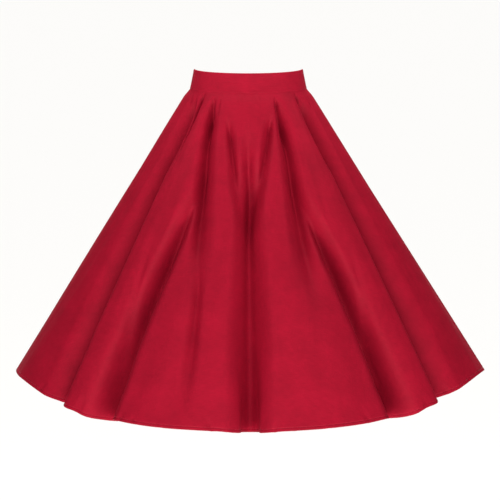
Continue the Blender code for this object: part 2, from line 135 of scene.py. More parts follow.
# %% [markdown]
# ## The skirt before its folds
# A point of the skirt is named by two numbers: its angle round the body, from
# the middle of the front, and its fall, the share of the way from the waist seam
# to the hem. One function turns the two into a place on the plain flaring form.
# Working with whole grids of points in numpy keeps this fast and short.
# %% The plain flaring form
def smooth(low, high, value):
    """Ease from 0 at low to 1 at high."""
    share = np.clip((value - low) / (high - low), 0.0, 1.0)
    return share * share * (3.0 - 2.0 * share)


def dome(value):
    """1 in the middle, 0 from -1 and 1 outward, level at both."""
    return np.cos(np.clip(value, -1.0, 1.0) * math.pi / 2.0) ** 2


def turned(angle):
    """The same angle between -180 and 180."""
    return (angle + 180.0) % 360.0 - 180.0


def slant_length(angle):
    """Length of the cloth from the waist seam to the hem."""
    place = turned(angle)
    length = np.full_like(place, LENGTH_ROWS[0][1])
    for (low, before), (high, after) in zip(LENGTH_ROWS, LENGTH_ROWS[1:]):
        length = length + (after - before) * smooth(low, high, place)
    return length


def waist_dip(angle):
    """How much lower the waistband lies towards the centre back."""
    back = -np.cos(np.radians(angle))
    return WAIST_BACK_DIP * (back + np.hypot(back, WAIST_DIP_EASE)) / 2.0


def skirt_outline(fall):
    """Half width and half depth of the skirt at a fall."""
    top_width = SEAM_HALF_WIDTH + HIP_ROUNDING
    top_depth = SEAM_HALF_DEPTH + HIP_ROUNDING
    width = top_width + (HEM_HALF_WIDTH - top_width) * fall
    depth = top_depth + (HEM_HALF_DEPTH - top_depth) * fall
    tucked = HIP_ROUNDING * (1.0 - smooth(0.0, HIP_ROUNDING_FALL, fall))
    return width - tucked, depth - tucked


def round_speed(angle, fall):
    """Metres along the plain skirt for each radian of angle."""
    width, depth = skirt_outline(fall)
    return np.hypot(width * np.cos(np.radians(angle)), depth * np.sin(np.radians(angle)))


def plain_point(angle, fall, inward):
    """A point of the plain flaring form, taken in towards the body by inward metres."""
    across, ahead = np.sin(np.radians(angle)), -np.cos(np.radians(angle))
    width, depth = skirt_outline(fall)
    run = np.hypot((HEM_HALF_WIDTH - SEAM_HALF_WIDTH) * across,
                   (HEM_HALF_DEPTH - SEAM_HALF_DEPTH) * ahead)
    drop = np.sqrt(slant_length(angle) ** 2 - run ** 2)
    out_x, out_y = across * depth, ahead * width
    scale = inward / np.hypot(out_x, out_y)
    top = -BAND_HEIGHT - SEAM_GAP - waist_dip(angle)
    return np.stack([width * across - out_x * scale + HEM_SIDE_SHIFT * fall,
                     depth * ahead - out_y * scale,
                     top - drop * fall - HANG * inward], axis=-1)


print("hem in the middle of the front:", np.round(plain_point(np.array(0.0), np.array(1.0), 0.0), 4))

# %% [markdown]
# ## The folds
# A flute of a circle skirt is not random. Each one starts near the waist, where
# the cloth is pushed together, and widens all the way to the hem. So one row of a
# table is one fold. The angles say where it lies at its start and
# at its end, and ease how its line bends between them. Start, full, fade and end
# are falls, so a fold can grow, stay and die out. Those that run out over the hem
# have a fade and an end far past 1. Depth, reaches and laps are millimetres at the
# hem. A lap is how far a lip hangs over the fold, soft swaps its tight bottom for a
# wide one, and lean lets it slant sideways.
#
# The first table has the folds that the solids have too. Cloth can bend tighter
# than a solid wall should, so some are drawn deeper and more open here, as the
# shadows in the photograph ask. The second has the folds too fine for the solids:
# those of the front are in the photograph, and the back has some like them.
# %% Fold tables
FOLD_COLUMNS = ("name", "angle", "end_angle", "ease", "start", "full", "fade", "end",
                "depth", "left_reach", "right_reach", "left_lap", "right_lap", "lap_start",
                "left_soft", "right_soft", "lean")
DEEP_FOLDS = (
    ("centre", -0.2, 0.0, 1.5, 0.04, 0.30, 9.0, 10.0, 90, 72, 72, 18, 19, 0.74, 0.15, 0.15, 0.0),
    ("valley_left", -21.0, -39.0, 2.4, 0.17, 0.54, 9.0, 10.0, 84, 51, 58, 0, 6, 0.90, 0.0, 0.20, 0.0),
    ("valley_right", 21.5, 39.2, 2.4, 0.20, 0.54, 9.0, 10.0, 84, 60, 46, 8, 0, 0.90, 0.15, 0.0, 0.0),
    ("tuck_left", -56.4, -50.0, 0.7, 0.0, 0.10, 9.0, 10.0, 74, 88, 50, 0, 52, 0.05, 0.0, 0.0, 0.0),
    ("tuck_right", 56.0, 50.8, 0.8, 0.0, 0.10, 9.0, 10.0, 74, 46, 92, 46, 0, 0.05, 0.0, 0.0, 0.0),
    ("upper_left", -33.7, -18.1, 1.5, 0.02, 0.11, 0.32, 0.66, 84, 52, 72, 0, 0, 0.0, 0.0, 0.0, -0.20),
    ("upper_right", 28.8, 22.0, 1.5, 0.0, 0.14, 0.34, 0.69, 88, 72, 58, 0, 0, 0.0, 0.0, 0.0, 0.10),
    ("side_back_left", -113.0, -108.0, 1.5, 0.02, 0.30, 9.0, 10.0, 60, 50, 96, 44, 0, 0.10, 0.0, 0.0, 0.0),
    ("side_back_right", 111.0, 106.0, 1.5, 0.03, 0.34, 9.0, 10.0, 58, 100, 50, 0, 42, 0.15, 0.0, 0.0, 0.0),
    ("back_left", -136.0, -132.0, 1.5, 0.12, 0.60, 9.0, 10.0, 70, 60, 80, 18, 0, 0.45, 0.0, 0.0, 0.0),
    ("back_right", 134.0, 130.0, 1.5, 0.20, 0.66, 9.0, 10.0, 66, 80, 60, 0, 18, 0.50, 0.0, 0.0, 0.0),
    ("inner_back_left", -159.0, -157.0, 1.5, 0.24, 0.70, 9.0, 10.0, 70, 78, 68, 10, 8, 0.60, 0.0, 0.0, 0.0),
    ("inner_back_right", 160.0, 156.0, 1.5, 0.22, 0.68, 9.0, 10.0, 74, 70, 82, 8, 12, 0.60, 0.0, 0.0, 0.0),
)
FINE_COLUMNS = ("name", "angle", "end_angle", "start", "full", "fade", "end",
                "depth", "left_reach", "right_reach")
FINE_FOLDS = (
    ("inner_left", -17.2, -3.0, 0.06, 0.14, 0.22, 0.46, 56, 36, 56),
    ("inner_right", 20.4, -1.0, 0.05, 0.12, 0.29, 0.50, 60, 70, 34),
    ("panel_left", -18.6, -16.4, 0.50, 0.64, 0.70, 0.98, 28, 24, 30),
    ("flute_left", -42.8, -41.2, 0.42, 0.80, 9.0, 10.0, 16, 18, 20),
    ("flute_right", 42.5, 39.7, 0.44, 0.80, 9.0, 10.0, 16, 18, 20),
    ("top_left", -46.6, -50.5, 0.0, 0.04, 0.10, 0.28, 56, 36, 24),
    ("top_right", 50.4, 51.8, 0.0, 0.04, 0.10, 0.28, 56, 24, 36),
    ("top_inner_left", -33.4, -31.0, 0.01, 0.04, 0.09, 0.20, 30, 28, 40),
    ("top_inner_right", 25.6, 26.2, 0.01, 0.04, 0.09, 0.20, 42, 30, 26),
    ("upper_back_left", -146.0, -150.0, 0.03, 0.14, 0.22, 0.52, 36, 40, 40),
    ("upper_back_right", 147.0, 144.0, 0.03, 0.16, 0.24, 0.50, 34, 38, 38),
    ("back_flute_left", -121.0, -120.0, 0.44, 0.80, 9.0, 10.0, 12, 24, 24),
    ("back_flute_right", 119.0, 118.0, 0.46, 0.82, 9.0, 10.0, 11, 24, 24),
    ("back_panel_left", -169.0, -171.0, 0.50, 0.70, 0.80, 0.99, 14, 30, 30),
)
PLAIN_FOLD = {"ease": 1.5, "left_lap": 0, "right_lap": 0, "lap_start": 0.0,
              "left_soft": 0.0, "right_soft": 0.0, "lean": 0.0}
FOLDS = [dict(zip(FOLD_COLUMNS, row)) for row in DEEP_FOLDS]
FOLDS += [{**PLAIN_FOLD, **dict(zip(FINE_COLUMNS, row))} for row in FINE_FOLDS]
print(len(DEEP_FOLDS), "deep folds and", len(FINE_FOLDS), "fine ones")

# %% [markdown]
# ## How a fold shapes the cloth
# A fold does two things. It takes the cloth in, most along its bottom, and it
# draws the cloth on both sides towards it, so that a lip can hang over the fold.
# The bottom is a rounded cleft and not a sine wave, because cloth that hangs
# bends tightly at the bottom of a fold and runs nearly straight up its sides.
# Each fold is worked out on the cloth as the other folds have moved it.
# %% Fold functions
WAIST_SCALE = 0.28        # a fold's size at the seam, as a share of its size at the hem
SHOULDER_SHARE = 0.20     # part of the depth that spreads out as soft shoulders
SHOULDER_REACH = 2.4      # how far they spread, as a share of the fold's reach
BOTTOM_ROUNDING = 0.20    # width of the rounded bottom, as a share of the reach
BOTTOM_SHARPNESS = 2.0    # above 1 the sides get steeper towards the bottom
LIP_PLACE = 0.60          # where on its way out the cloth is drawn over most
LIP_INNER = 0.36          # how soon that ends towards the bottom of the fold
LIP_OUTER = 2.30          # and how far it goes on outside it


def cleft(value):
    """1 in the middle, 0 from 1 outward, with straight sides and a tight bottom."""
    away = (np.hypot(value, BOTTOM_ROUNDING) - BOTTOM_ROUNDING) / (1.0 - BOTTOM_ROUNDING)
    return np.clip(1.0 - away, 0.0, 1.0) ** BOTTOM_SHARPNESS


def fold_line(fold, fall):
    """The angle of a fold's bottom at a fall."""
    way = np.clip((fall - fold["start"]) / (min(fold["end"], 1.0) - fold["start"]), 0.0, 1.0)
    return fold["end_angle"] + (fold["angle"] - fold["end_angle"]) * (1.0 - way) ** fold["ease"]


def fold_way(fold, angle, fall):
    """Where a point lies across a fold, in metres, the fold's scale and its strength."""
    centre = fold_line(fold, fall)
    across = np.radians(turned(angle - centre)) * round_speed(centre, fall)
    scale = (WAIST_SCALE + (1.0 - WAIST_SCALE) * fall) * MILLIMETRE
    strength = (smooth(fold["start"], fold["full"], fall)
                * (1.0 - smooth(fold["fade"], fold["end"], fall)))
    return across, scale, strength


def fold_side(fold, across, scale):
    """Which side of a fold a point is on, and how far away as a share of its reach."""
    on_left = across < 0.0
    reach = np.where(on_left, fold["left_reach"], fold["right_reach"]) * scale
    return on_left, np.abs(across) / reach


def fold_lap(fold, angle, fall):
    """How far the lips of a fold take the cloth along the skirt."""
    across, scale, strength = fold_way(fold, angle, fall)
    on_left, away = fold_side(fold, across, scale)
    lap = np.where(on_left, fold["left_lap"], -fold["right_lap"]) * scale
    lip = np.where(away < LIP_PLACE, dome((away - LIP_PLACE) / LIP_INNER),
                   dome((away - LIP_PLACE) / LIP_OUTER))
    share = np.clip((fall - fold["lap_start"]) / (1.0 - fold["lap_start"]), 0.0, 1.0)
    return lap * lip * strength * share


def fold_depth(fold, angle, fall):
    """How far a fold takes the cloth in."""
    across, scale, strength = fold_way(fold, angle, fall)
    on_left, away = fold_side(fold, across, scale)
    soft = np.where(on_left, fold["left_soft"], fold["right_soft"])
    tight = (1.0 - SHOULDER_SHARE) * cleft(away) + SHOULDER_SHARE * dome(away / SHOULDER_REACH)
    trough = (1.0 - soft) * tight + soft * dome(away)
    return fold["depth"] * scale * strength * trough


def folded_point(angle, fall):
    """A point on the outer face of the folded skirt."""
    speed = round_speed(angle, fall)
    laps = [fold_lap(fold, angle, fall) for fold in FOLDS]
    along = sum(laps)
    inward, leaning = 0.0, 0.0
    for fold, own_lap in zip(FOLDS, laps):
        depth = fold_depth(fold, angle + np.degrees((along - own_lap) / speed), fall)
        inward = inward + depth
        leaning = leaning + fold["lean"] * depth
    return plain_point(angle + np.degrees((along + leaning) / speed), fall, inward)


HEM_SAMPLES = 3600
hem_line = folded_point(np.linspace(-180.0, 180.0, HEM_SAMPLES), np.ones(HEM_SAMPLES))
hem_steps = np.linalg.norm(np.diff(hem_line, axis=0), axis=1)
print("length round the hem:", round(float(hem_steps.sum()), 3), "m")

# %% [markdown]
# ## Creases and puckers
# Real cloth has a last layer of form that is only a few millimetres high. A
# narrow hem pulls the cloth into short slanting puckers. The waist seam draws a
# few dents under it. These could be bump, but bump gives no outline and no
# shadow, and the hem's edge shows both. So they move the points, along the way
# out of the cloth. Those of the front are in the photograph, and the back's are
# made by a loop from a short list of heights, so that no two next to each other match.
# %% Crease tables
CREASE_COLUMNS = ("angle", "end_angle", "start", "end", "height", "half_width")
PUCKER_STRENGTH = 2.2       # every crease is this many times as high as its row says
HEM_PUCKERS = (
    # height (below 0 is a dent) and half width are in millimetres
    (-61.0, -63.0, 0.950, 1.03, -1.2, 5.0),
    (-54.5, -55.5, 0.960, 1.03, -1.0, 4.0),
    (-41.6, -41.2, 0.935, 1.03, -1.8, 5.0),
    (-32.0, -30.8, 0.950, 1.03, -1.6, 5.0),
    (-28.6, -27.4, 0.955, 1.03, -1.3, 4.0),
    (-21.5, -20.5, 0.965, 1.03, 1.0, 6.0),
    (-11.8, -9.6, 0.955, 1.03, -1.8, 4.5),
    (-6.2, -5.2, 0.970, 1.03, -1.0, 4.0),
    (8.6, 6.8, 0.960, 1.03, -1.8, 4.5),
    (12.2, 11.2, 0.972, 1.03, -1.1, 4.0),
    (19.0, 18.0, 0.968, 1.03, 0.9, 6.0),
    (27.5, 28.4, 0.955, 1.03, -1.4, 5.0),
    (43.2, 43.0, 0.950, 1.03, -1.4, 5.0),
    (57.5, 58.5, 0.960, 1.03, -1.2, 5.0),
    (66.0, 67.0, 0.965, 1.03, -1.0, 5.0),
)
WAIST_DENTS = (
    (-26.5, -25.6, 0.010, 0.075, -1.6, 5.0),
    (-8.0, -7.0, -0.010, 0.050, 0.7, 8.0),
    (9.0, 8.0, -0.010, 0.060, 0.6, 8.0),
    (-64.0, -62.0, 0.000, 0.070, -0.9, 6.0),
    (68.0, 66.0, 0.000, 0.080, -0.9, 6.0),
    (-128.0, -127.0, 0.000, 0.070, -1.2, 5.0),
    (126.0, 127.0, 0.000, 0.060, -1.2, 5.0),
)
BACK_PUCKER_SPACING = 11.0
BACK_PUCKER_HEIGHTS = (-1.4, -0.9, 0.8, -1.7, -1.0, 0.7, -1.3)
BACK_PUCKER_SIDE_STEP = 3   # the right side starts this many heights further on
BACK_PUCKER_SCATTER = 0.18  # share of the spacing that a millimetre of height shifts a pucker
BACK_PUCKER_SLANT = 0.8
BACK_PUCKER_START = 0.955
BACK_PUCKER_START_STEP = 0.006      # two of every three start one or two of these lower
BACK_PUCKER_END = 1.03
BACK_PUCKER_HALF_WIDTH = 4.5


def back_puckers():
    """Puckers like those of the front, for the hem of both back panels."""
    rows = []
    count = int((CENTRE_BACK - SIDE_SEAM) / BACK_PUCKER_SPACING)
    for side in (-1.0, 1.0):
        for step in range(count):
            row = step + (side > 0.0) * BACK_PUCKER_SIDE_STEP
            height = BACK_PUCKER_HEIGHTS[row % len(BACK_PUCKER_HEIGHTS)]
            steps = step + 0.5 + BACK_PUCKER_SCATTER * height
            angle = side * (SIDE_SEAM + BACK_PUCKER_SPACING * steps)
            end_angle = angle + side * BACK_PUCKER_SLANT * height
            start = BACK_PUCKER_START + BACK_PUCKER_START_STEP * (step % 3)
            rows.append((angle, end_angle, start, BACK_PUCKER_END, height, BACK_PUCKER_HALF_WIDTH))
    return tuple(rows)


CREASES = [dict(zip(CREASE_COLUMNS, row)) for row in HEM_PUCKERS + WAIST_DENTS + back_puckers()]
print(len(CREASES), "creases")

# %% [markdown]
# ## Relief of the cloth
# The relief is the sum of the creases and of what sewing does to cloth. A shallow
# groove runs where the hem is stitched, with a soft roll below it. Each panel's
# edge rolls into its side seam, and the waist seam stands up in a low ridge. Very
# low, wide waves keep the broad faces of the flutes from looking pressed.
# %% Relief of the cloth
HEM_STITCH_RISE = 0.0062
HEM_GROOVE = 0.00050
HEM_GROOVE_WIDTH = 0.0018
HEM_ROLL = 0.00010
EDGE_ROLL = 0.0009
EDGE_ROLL_WIDTH = 0.0016
SEAM_RIDGE = 0.0005
SEAM_RIDGE_WIDTH = 0.0020
WAVE_START = 0.3
WAVE_ROWS = (
    # waves round the skirt, waves down it, turn, height in mm
    (23.0, 0.9, 0.3, 0.45),
    (37.0, 1.6, 1.7, 0.30),
    (61.0, 2.3, 4.1, 0.16),
    (97.0, 1.2, 2.6, 0.08),
)


def crease_height(crease, angle, fall):
    """How far one crease lifts the cloth."""
    way = np.clip((fall - crease["start"]) / (crease["end"] - crease["start"]), 0.0, 1.0)
    line = crease["angle"] + (crease["end_angle"] - crease["angle"]) * way
    across = np.radians(turned(angle - line)) * round_speed(line, fall) / MILLIMETRE
    middle = (crease["start"] + crease["end"]) / 2.0
    half = (crease["end"] - crease["start"]) / 2.0
    shape = dome(across / crease["half_width"]) * dome((fall - middle) / half)
    return PUCKER_STRENGTH * crease["height"] * MILLIMETRE * shape


def relief(angle, fall, edges):
    """How far the cloth stands out of its folded form, between two panel edges."""
    height = sum(crease_height(crease, angle, fall) for crease in CREASES)
    for around, down, turn, size in WAVE_ROWS:
        wave = np.sin(np.radians(angle) * around + turn + 2.0 * math.pi * down * fall)
        height = height + size * MILLIMETRE * wave * smooth(0.0, WAVE_START, fall)
    above_hem = (1.0 - fall) * slant_length(angle)
    height = height - HEM_GROOVE * dome((above_hem - HEM_STITCH_RISE) / HEM_GROOVE_WIDTH)
    roll_place = HEM_STITCH_RISE / 2.0
    height = height + HEM_ROLL * dome((above_hem - roll_place) / roll_place)
    below_seam = fall * slant_length(angle)
    height = height + SEAM_RIDGE * (1.0 - smooth(0.0, SEAM_RIDGE_WIDTH, below_seam))
    for edge in edges:
        away = np.abs(np.radians(angle - edge)) * round_speed(angle, fall)
        height = height - EDGE_ROLL * (1.0 - smooth(0.0, EDGE_ROLL_WIDTH, away))
    return height


front_angles = np.linspace(-SIDE_SEAM, SIDE_SEAM, HEM_SAMPLES)
hem_relief = relief(front_angles, np.full(HEM_SAMPLES, 0.99), ()) / MILLIMETRE
print("relief near the front's hem:", np.round([hem_relief.min(), hem_relief.max()], 2), "mm")

# %% [markdown]
# ## From a form to a thin shell
# Cloth has two faces and an edge. A flat sheet without thickness would show no
# edge at the hem and would shade wrongly where light comes through its back, so
# each panel is a closed shell. Its outer points come from the form, its inner ones
# lie one cloth behind them, and one more row of points rounds each long edge.
# The slope of the form, taken over a tiny step, gives the way out of the cloth.
# %% Shell builder
TURN_STEP = 0.01
FALL_STEP = 0.0005


def way_out(surface, angle, level):
    """Unit direction out of a surface that is given by a function."""
    below = np.clip(level + FALL_STEP, 0.0, 1.0)
    above = np.clip(level - FALL_STEP, 0.0, 1.0)
    round_way = surface(angle + TURN_STEP, level) - surface(angle - TURN_STEP, level)
    down_way = surface(angle, below) - surface(angle, above)
    out = np.cross(down_way, round_way)
    return out / np.linalg.norm(out, axis=-1, keepdims=True)


def link_mesh(name, points, faces, material, cut_place=None):
    """A new object from points and faces, with its place on the flat cut as a UV map."""
    mesh = bpy.data.meshes.new(name)
    mesh.from_pydata(points.tolist(), [], faces)
    mesh.shade_smooth()
    mesh.materials.append(material)
    if cut_place is not None:
        corners = np.empty(len(mesh.loops), dtype=np.int32)
        mesh.loops.foreach_get("vertex_index", corners)
        layer = mesh.uv_layers.new(name="cut")
        layer.data.foreach_set("uv", cut_place[corners].astype(np.float32).ravel())
    item = bpy.data.objects.new(name, mesh)
    bpy.context.collection.objects.link(item)
    return item


def edge_row(outer, inner, beyond):
    """Points that round an edge, half a thickness further on than the two faces."""
    middle = (outer + inner) / 2.0
    ahead = outer - beyond
    ahead = ahead / np.linalg.norm(ahead, axis=-1, keepdims=True)
    return middle + ahead * np.linalg.norm(outer - inner, axis=-1, keepdims=True) / 2.0


def shell(name, outer, inner, cut_place, material):
    """A closed shell from two grids of points, rows down and columns to the right."""
    rows, columns = outer.shape[:2]
    foot = edge_row(outer[-1], inner[-1], outer[-2])
    head = edge_row(outer[0], inner[0], outer[1])
    ring = np.concatenate([outer, foot[None], inner[::-1], head[None]])
    place = np.concatenate([cut_place, cut_place[-1:], cut_place[::-1], cut_place[:1]])
    count = len(ring)
    faces = []
    for row in range(count):
        here, below = row * columns, (row + 1) % count * columns
        faces += [(here + column, below + column, below + column + 1, here + column + 1)
                  for column in range(columns - 1)]
    for column, is_left in ((0, True), (columns - 1, False)):
        caps = [((count - 1) * columns, 0, (2 * rows) * columns)]
        caps += [(row * columns, (row + 1) * columns, (2 * rows - 1 - row) * columns,
                  (2 * rows - row) * columns) for row in range(rows - 1)]
        caps.append(((rows - 1) * columns, rows * columns, (rows + 1) * columns))
        for cap in caps:
            corners = tuple(corner + column for corner in cap)
            faces.append(corners[::-1] if is_left else corners)
    return link_mesh(name, ring.reshape(-1, 3), faces, material, place.reshape(-1, 2))


front_out = way_out(folded_point, np.array(10.0), np.array(0.5))
print("way out of the cloth beside the middle of the front:", np.round(front_out, 3))

# %% [markdown]
# ## Small helpers for materials
# Colours are picked as sRGB hex values, the way a screen shows them, and Blender's
# shaders work in linear light, so one function turns the first into the second.
# A second one adds a node with its settings and links in one call, which keeps
# each material readable as a list of what it is made of.
# %% Material helpers
def linear(hex_colour):
    """An sRGB hex colour as the linear values that a shader wants."""
    parts = [int(hex_colour[i:i + 2], 16) / 255.0 for i in (1, 3, 5)]
    return tuple(part / 12.92 if part <= 0.04045 else ((part + 0.055) / 1.055) ** 2.4
                 for part in parts) + (1.0,)


def add_node(tree, kind, settings=None, **inputs):
    """A new node. Settings are its properties, inputs are values or the sockets that feed it."""
    node = tree.nodes.new(kind)
    for key, value in (settings or {}).items():
        setattr(node, key, value)
    for key, value in inputs.items():
        place = int(key[1:]) if key[1:].isdigit() else key.replace("_", " ")
        socket = node.inputs[place]
        if isinstance(value, bpy.types.NodeSocket):
            tree.links.new(value, socket)
        else:
            socket.default_value = value
    return node


def new_material(name):
    """An empty material with its shader and output joined up."""
    material = bpy.data.materials.new(name)
    material.use_nodes = True
    tree = material.node_tree
    tree.nodes.clear()
    shader = add_node(tree, "ShaderNodeBsdfPrincipled")
    add_node(tree, "ShaderNodeOutputMaterial", Surface=shader.outputs["BSDF"])
    return material, tree, shader


def per_metre(size_mm):
    """The scale of a pattern whose repeat has a real size."""
    return 1.0 / (size_mm * MILLIMETRE)


print("crimson in linear light:", [round(part, 4) for part in linear("#B81F34")[:3]])

# %% [markdown]
# ## Cotton sateen
# Sateen is cotton woven so that most of each weft thread floats on the face. The
# floats lie side by side and catch light together, which gives a soft lustre that
# is clearer than plain cotton's and far from satin's mirror gleam. Dyed this
# deep a red, it sends back almost no green or blue except in that lustre. Here
# the cloth is worn soft and hardly glossy, so the reflection is rough and weak.
# The threads are about 0.15 mm apart and far too fine to show here, so they are
# drawn as slubs, the thicker stretches of weft, every 2 mm or so. They run along
# the cut, so the pattern uses each panel's place on the flat cloth.
# %% Cotton sateen
SATEEN_RED = "#850B20"
SATEEN_DEEP = "#7D0A1E"
SATEEN_LIGHT = "#8D0C23"
SLUB_LENGTH_MM = 16.0
SLUB_WIDTH_MM = 1.4       # nine threads, since single ones are too fine to show
SLUB_HEIGHT = 0.10 * MILLIMETRE
SLUB_SHARE = 0.45         # part of the mottling that comes from slubs, the rest from patches of uneven dye and painted sheen
DYE_AND_SHEEN_CLOUD_MM = 55.0           # the dye takes a little unevenly, and a painted sheen goes with it, in patches as wide as this
WRINKLE_MM = 14.0         # faint creases left from packing
WRINKLE_HEIGHT = 0.5 * MILLIMETRE

sateen, tree, shader = new_material("cotton_sateen_red")
cut_uv = add_node(tree, "ShaderNodeUVMap", {"uv_map": "cut"})
slub_place = add_node(tree, "ShaderNodeMapping", Vector=cut_uv.outputs["UV"],
                      Scale=(per_metre(SLUB_LENGTH_MM), per_metre(SLUB_WIDTH_MM), 1.0))
slubs = add_node(tree, "ShaderNodeTexNoise", {"noise_dimensions": "2D"},
                 Vector=slub_place.outputs["Vector"], Scale=1.0, Detail=2.0, Roughness=0.55)
# Broad patches of lighter and darker red: partly uneven dye, partly the sateen's patchy lustre painted into
# the colour as painted sheen.
dye_and_sheen_clouds = add_node(tree, "ShaderNodeTexNoise", {"noise_dimensions": "2D"},
                  Vector=cut_uv.outputs["UV"], Scale=per_metre(DYE_AND_SHEEN_CLOUD_MM),
                  Detail=3.0, Roughness=0.6)
slub_tone = add_node(tree, "ShaderNodeMath", {"operation": "MULTIPLY"},
                     _0=slubs.outputs["Fac"], _1=SLUB_SHARE)
blend = add_node(tree, "ShaderNodeMath", {"operation": "MULTIPLY_ADD"},
                 _0=dye_and_sheen_clouds.outputs["Fac"], _1=1.0 - SLUB_SHARE, _2=slub_tone.outputs["Value"])
tone = add_node(tree, "ShaderNodeValToRGB", Fac=blend.outputs["Value"])
tone.color_ramp.elements[0].position = 0.30
tone.color_ramp.elements[0].color = linear(SATEEN_DEEP)
tone.color_ramp.elements[1].position = 0.70
tone.color_ramp.elements[1].color = linear(SATEEN_LIGHT)
middle_tone = tone.color_ramp.elements.new(0.50)
middle_tone.color = linear(SATEEN_RED)
tree.links.new(tone.outputs["Color"], shader.inputs["Base Color"])
wrinkles = add_node(tree, "ShaderNodeTexNoise", {"noise_dimensions": "2D"},
                    Vector=cut_uv.outputs["UV"], Scale=per_metre(WRINKLE_MM),
                    Detail=3.0, Roughness=0.5)
wrinkle_bump = add_node(tree, "ShaderNodeBump", Height=wrinkles.outputs["Fac"],
                        Strength=1.0, Distance=WRINKLE_HEIGHT)
slub_bump = add_node(tree, "ShaderNodeBump", Height=slubs.outputs["Fac"],
                     Normal=wrinkle_bump.outputs["Normal"], Strength=1.0, Distance=SLUB_HEIGHT)
tree.links.new(slub_bump.outputs["Normal"], shader.inputs["Normal"])
shader.inputs["Roughness"].default_value = 0.60
shader.inputs["Specular IOR Level"].default_value = 0.05
print("slubs", SLUB_WIDTH_MM, "mm wide and", SLUB_LENGTH_MM, "mm long")

# %% [markdown]
# ## Skirt panels
# The skirt is cut in three pieces, one front and two backs that meet in the zip's
# seam. Each is a part of a ring of cloth. The grid of a panel has more columns
# near its edges, where the cloth rolls into the seam, and more rows near the waist
# and the hem. How far along the cloth each column lies is measured on the shell
# itself, and gives the panel's place on the flat cut.
# %% Grid of a panel
CLOTH_WALL = 0.0009
HEM_WALL = 0.0016
HEM_DEPTH = 0.0080
HEM_TURN = 0.0008         # the doubled hem gets thinner over this height
CUT_WAIST_RADIUS = 0.150
EDGE_DEGREES = (0.0, 0.05, 0.12, 0.22, 0.40, 0.75)                     # columns beside an edge
SEAM_METRES = (0.0, 0.0004, 0.0009, 0.0014, 0.0021, 0.0032, 0.0050)    # rows below the seam
HEM_METRES = (
    # rows above the hem
    0.0120, 0.0098, 0.0086, 0.0079, 0.0073, 0.0067, 0.0062, 0.0057,
    0.0051, 0.0044, 0.0036, 0.0027, 0.0018, 0.0010, 0.0004, 0.0,
)


def even_between(count, fine_start, fine_end):
    """Even steps between two lists of closer ones."""
    steps = np.linspace(fine_start[-1], fine_end[0], count)[1:-1]
    return np.concatenate([fine_start, steps, fine_end])


def panel_grid(left_edge, right_edge, columns, rows):
    """Angles and falls of a panel's points, closer together near its edges."""
    edge = np.array(EDGE_DEGREES)
    angles = even_between(columns, left_edge + edge, (right_edge - edge)[::-1])
    top = np.array(SEAM_METRES) / SKIRT_LENGTH
    foot = 1.0 - np.array(HEM_METRES) / SKIRT_LENGTH
    return np.meshgrid(angles, even_between(rows, top, foot))


def cut_places(outer, fall, middle_column):
    """Where each point lies on the flat cut, in metres, the grain running down the middle."""
    steps = np.linalg.norm(np.diff(outer, axis=1), axis=-1)
    along = np.concatenate([np.zeros((len(outer), 1)), np.cumsum(steps, axis=1)], axis=1)
    along = along - along[:, middle_column][:, None]
    radius = CUT_WAIST_RADIUS + fall * SKIRT_LENGTH
    return np.stack([radius * np.sin(along / radius), -radius * np.cos(along / radius)], axis=-1)


print("hem turned up", HEM_DEPTH / MILLIMETRE, "mm, cloth", CLOTH_WALL / MILLIMETRE, "mm thick")

# %% [markdown]
# ## Seams between the panels
# Two sewn panels press on each other, so their edges meet and no light comes
# through. Only the zip keeps its seam open, by a slit that closes where the zip
# ends. A panel's edge is moved to its seam along the cloth, and the columns beside
# it follow less and less, so that the grid stays even.
# %% Skirt panel function
ZIP_TOP = 0.0030
ZIP_LENGTH = 0.1800
ZIP_SLIT = 0.0016
ZIP_SLIT_EASE = 0.0200
EDGE_SHIFT_DEGREES = 6.0


def slit_width(angles, falls):
    """The gap at the centre back: open for the zip, then a closed seam."""
    distance = BAND_HEIGHT + falls * slant_length(angles)
    closed = smooth(ZIP_LENGTH - ZIP_SLIT_EASE, ZIP_LENGTH, distance)
    return CLOSED_SEAM + (ZIP_SLIT - CLOSED_SEAM) * (1.0 - closed)


def edge_shift(edge, falls):
    """How many degrees an edge of a panel moves to lie half a gap from its seam."""
    at_edge = np.full(len(falls), edge)
    at_zip = math.isclose(abs(edge), CENTRE_BACK)
    gap = slit_width(at_edge, falls) if at_zip else np.full(len(falls), CLOSED_SEAM)
    step = folded_point(at_edge + TURN_STEP, falls) - folded_point(at_edge - TURN_STEP, falls)
    return gap * TURN_STEP / np.linalg.norm(step, axis=-1)


def skirt_panel(name, left_edge, right_edge, columns, rows):
    """One skirt panel as a thin closed shell, with its place on the cut."""
    angle, fall = panel_grid(left_edge, right_edge, columns, rows)
    for side, edge in ((1.0, left_edge), (-1.0, right_edge)):
        shift = side * edge_shift(edge, fall[:, 0])
        angle = angle + shift[:, None] * smooth(EDGE_SHIFT_DEGREES, 0.0, np.abs(angle - edge))
    out = way_out(folded_point, angle, fall)
    raised = relief(angle, fall, (left_edge, right_edge))
    outer = folded_point(angle, fall) + out * raised[..., None]
    above_hem = (1.0 - fall) * SKIRT_LENGTH
    doubled = 1.0 - smooth(HEM_DEPTH - HEM_TURN, HEM_DEPTH, above_hem)
    wall = CLOTH_WALL + (HEM_WALL - CLOTH_WALL) * doubled
    inner = outer - out * wall[..., None]
    middle = columns // 2 if math.isclose(left_edge, -right_edge) else 0
    return shell(name, outer, inner, cut_places(outer, fall, middle), sateen)


zip_falls = np.array([0.0, 0.1, 0.5])
print("gap at the centre back:", slit_width(np.full(3, CENTRE_BACK), zip_falls) / MILLIMETRE, "mm")

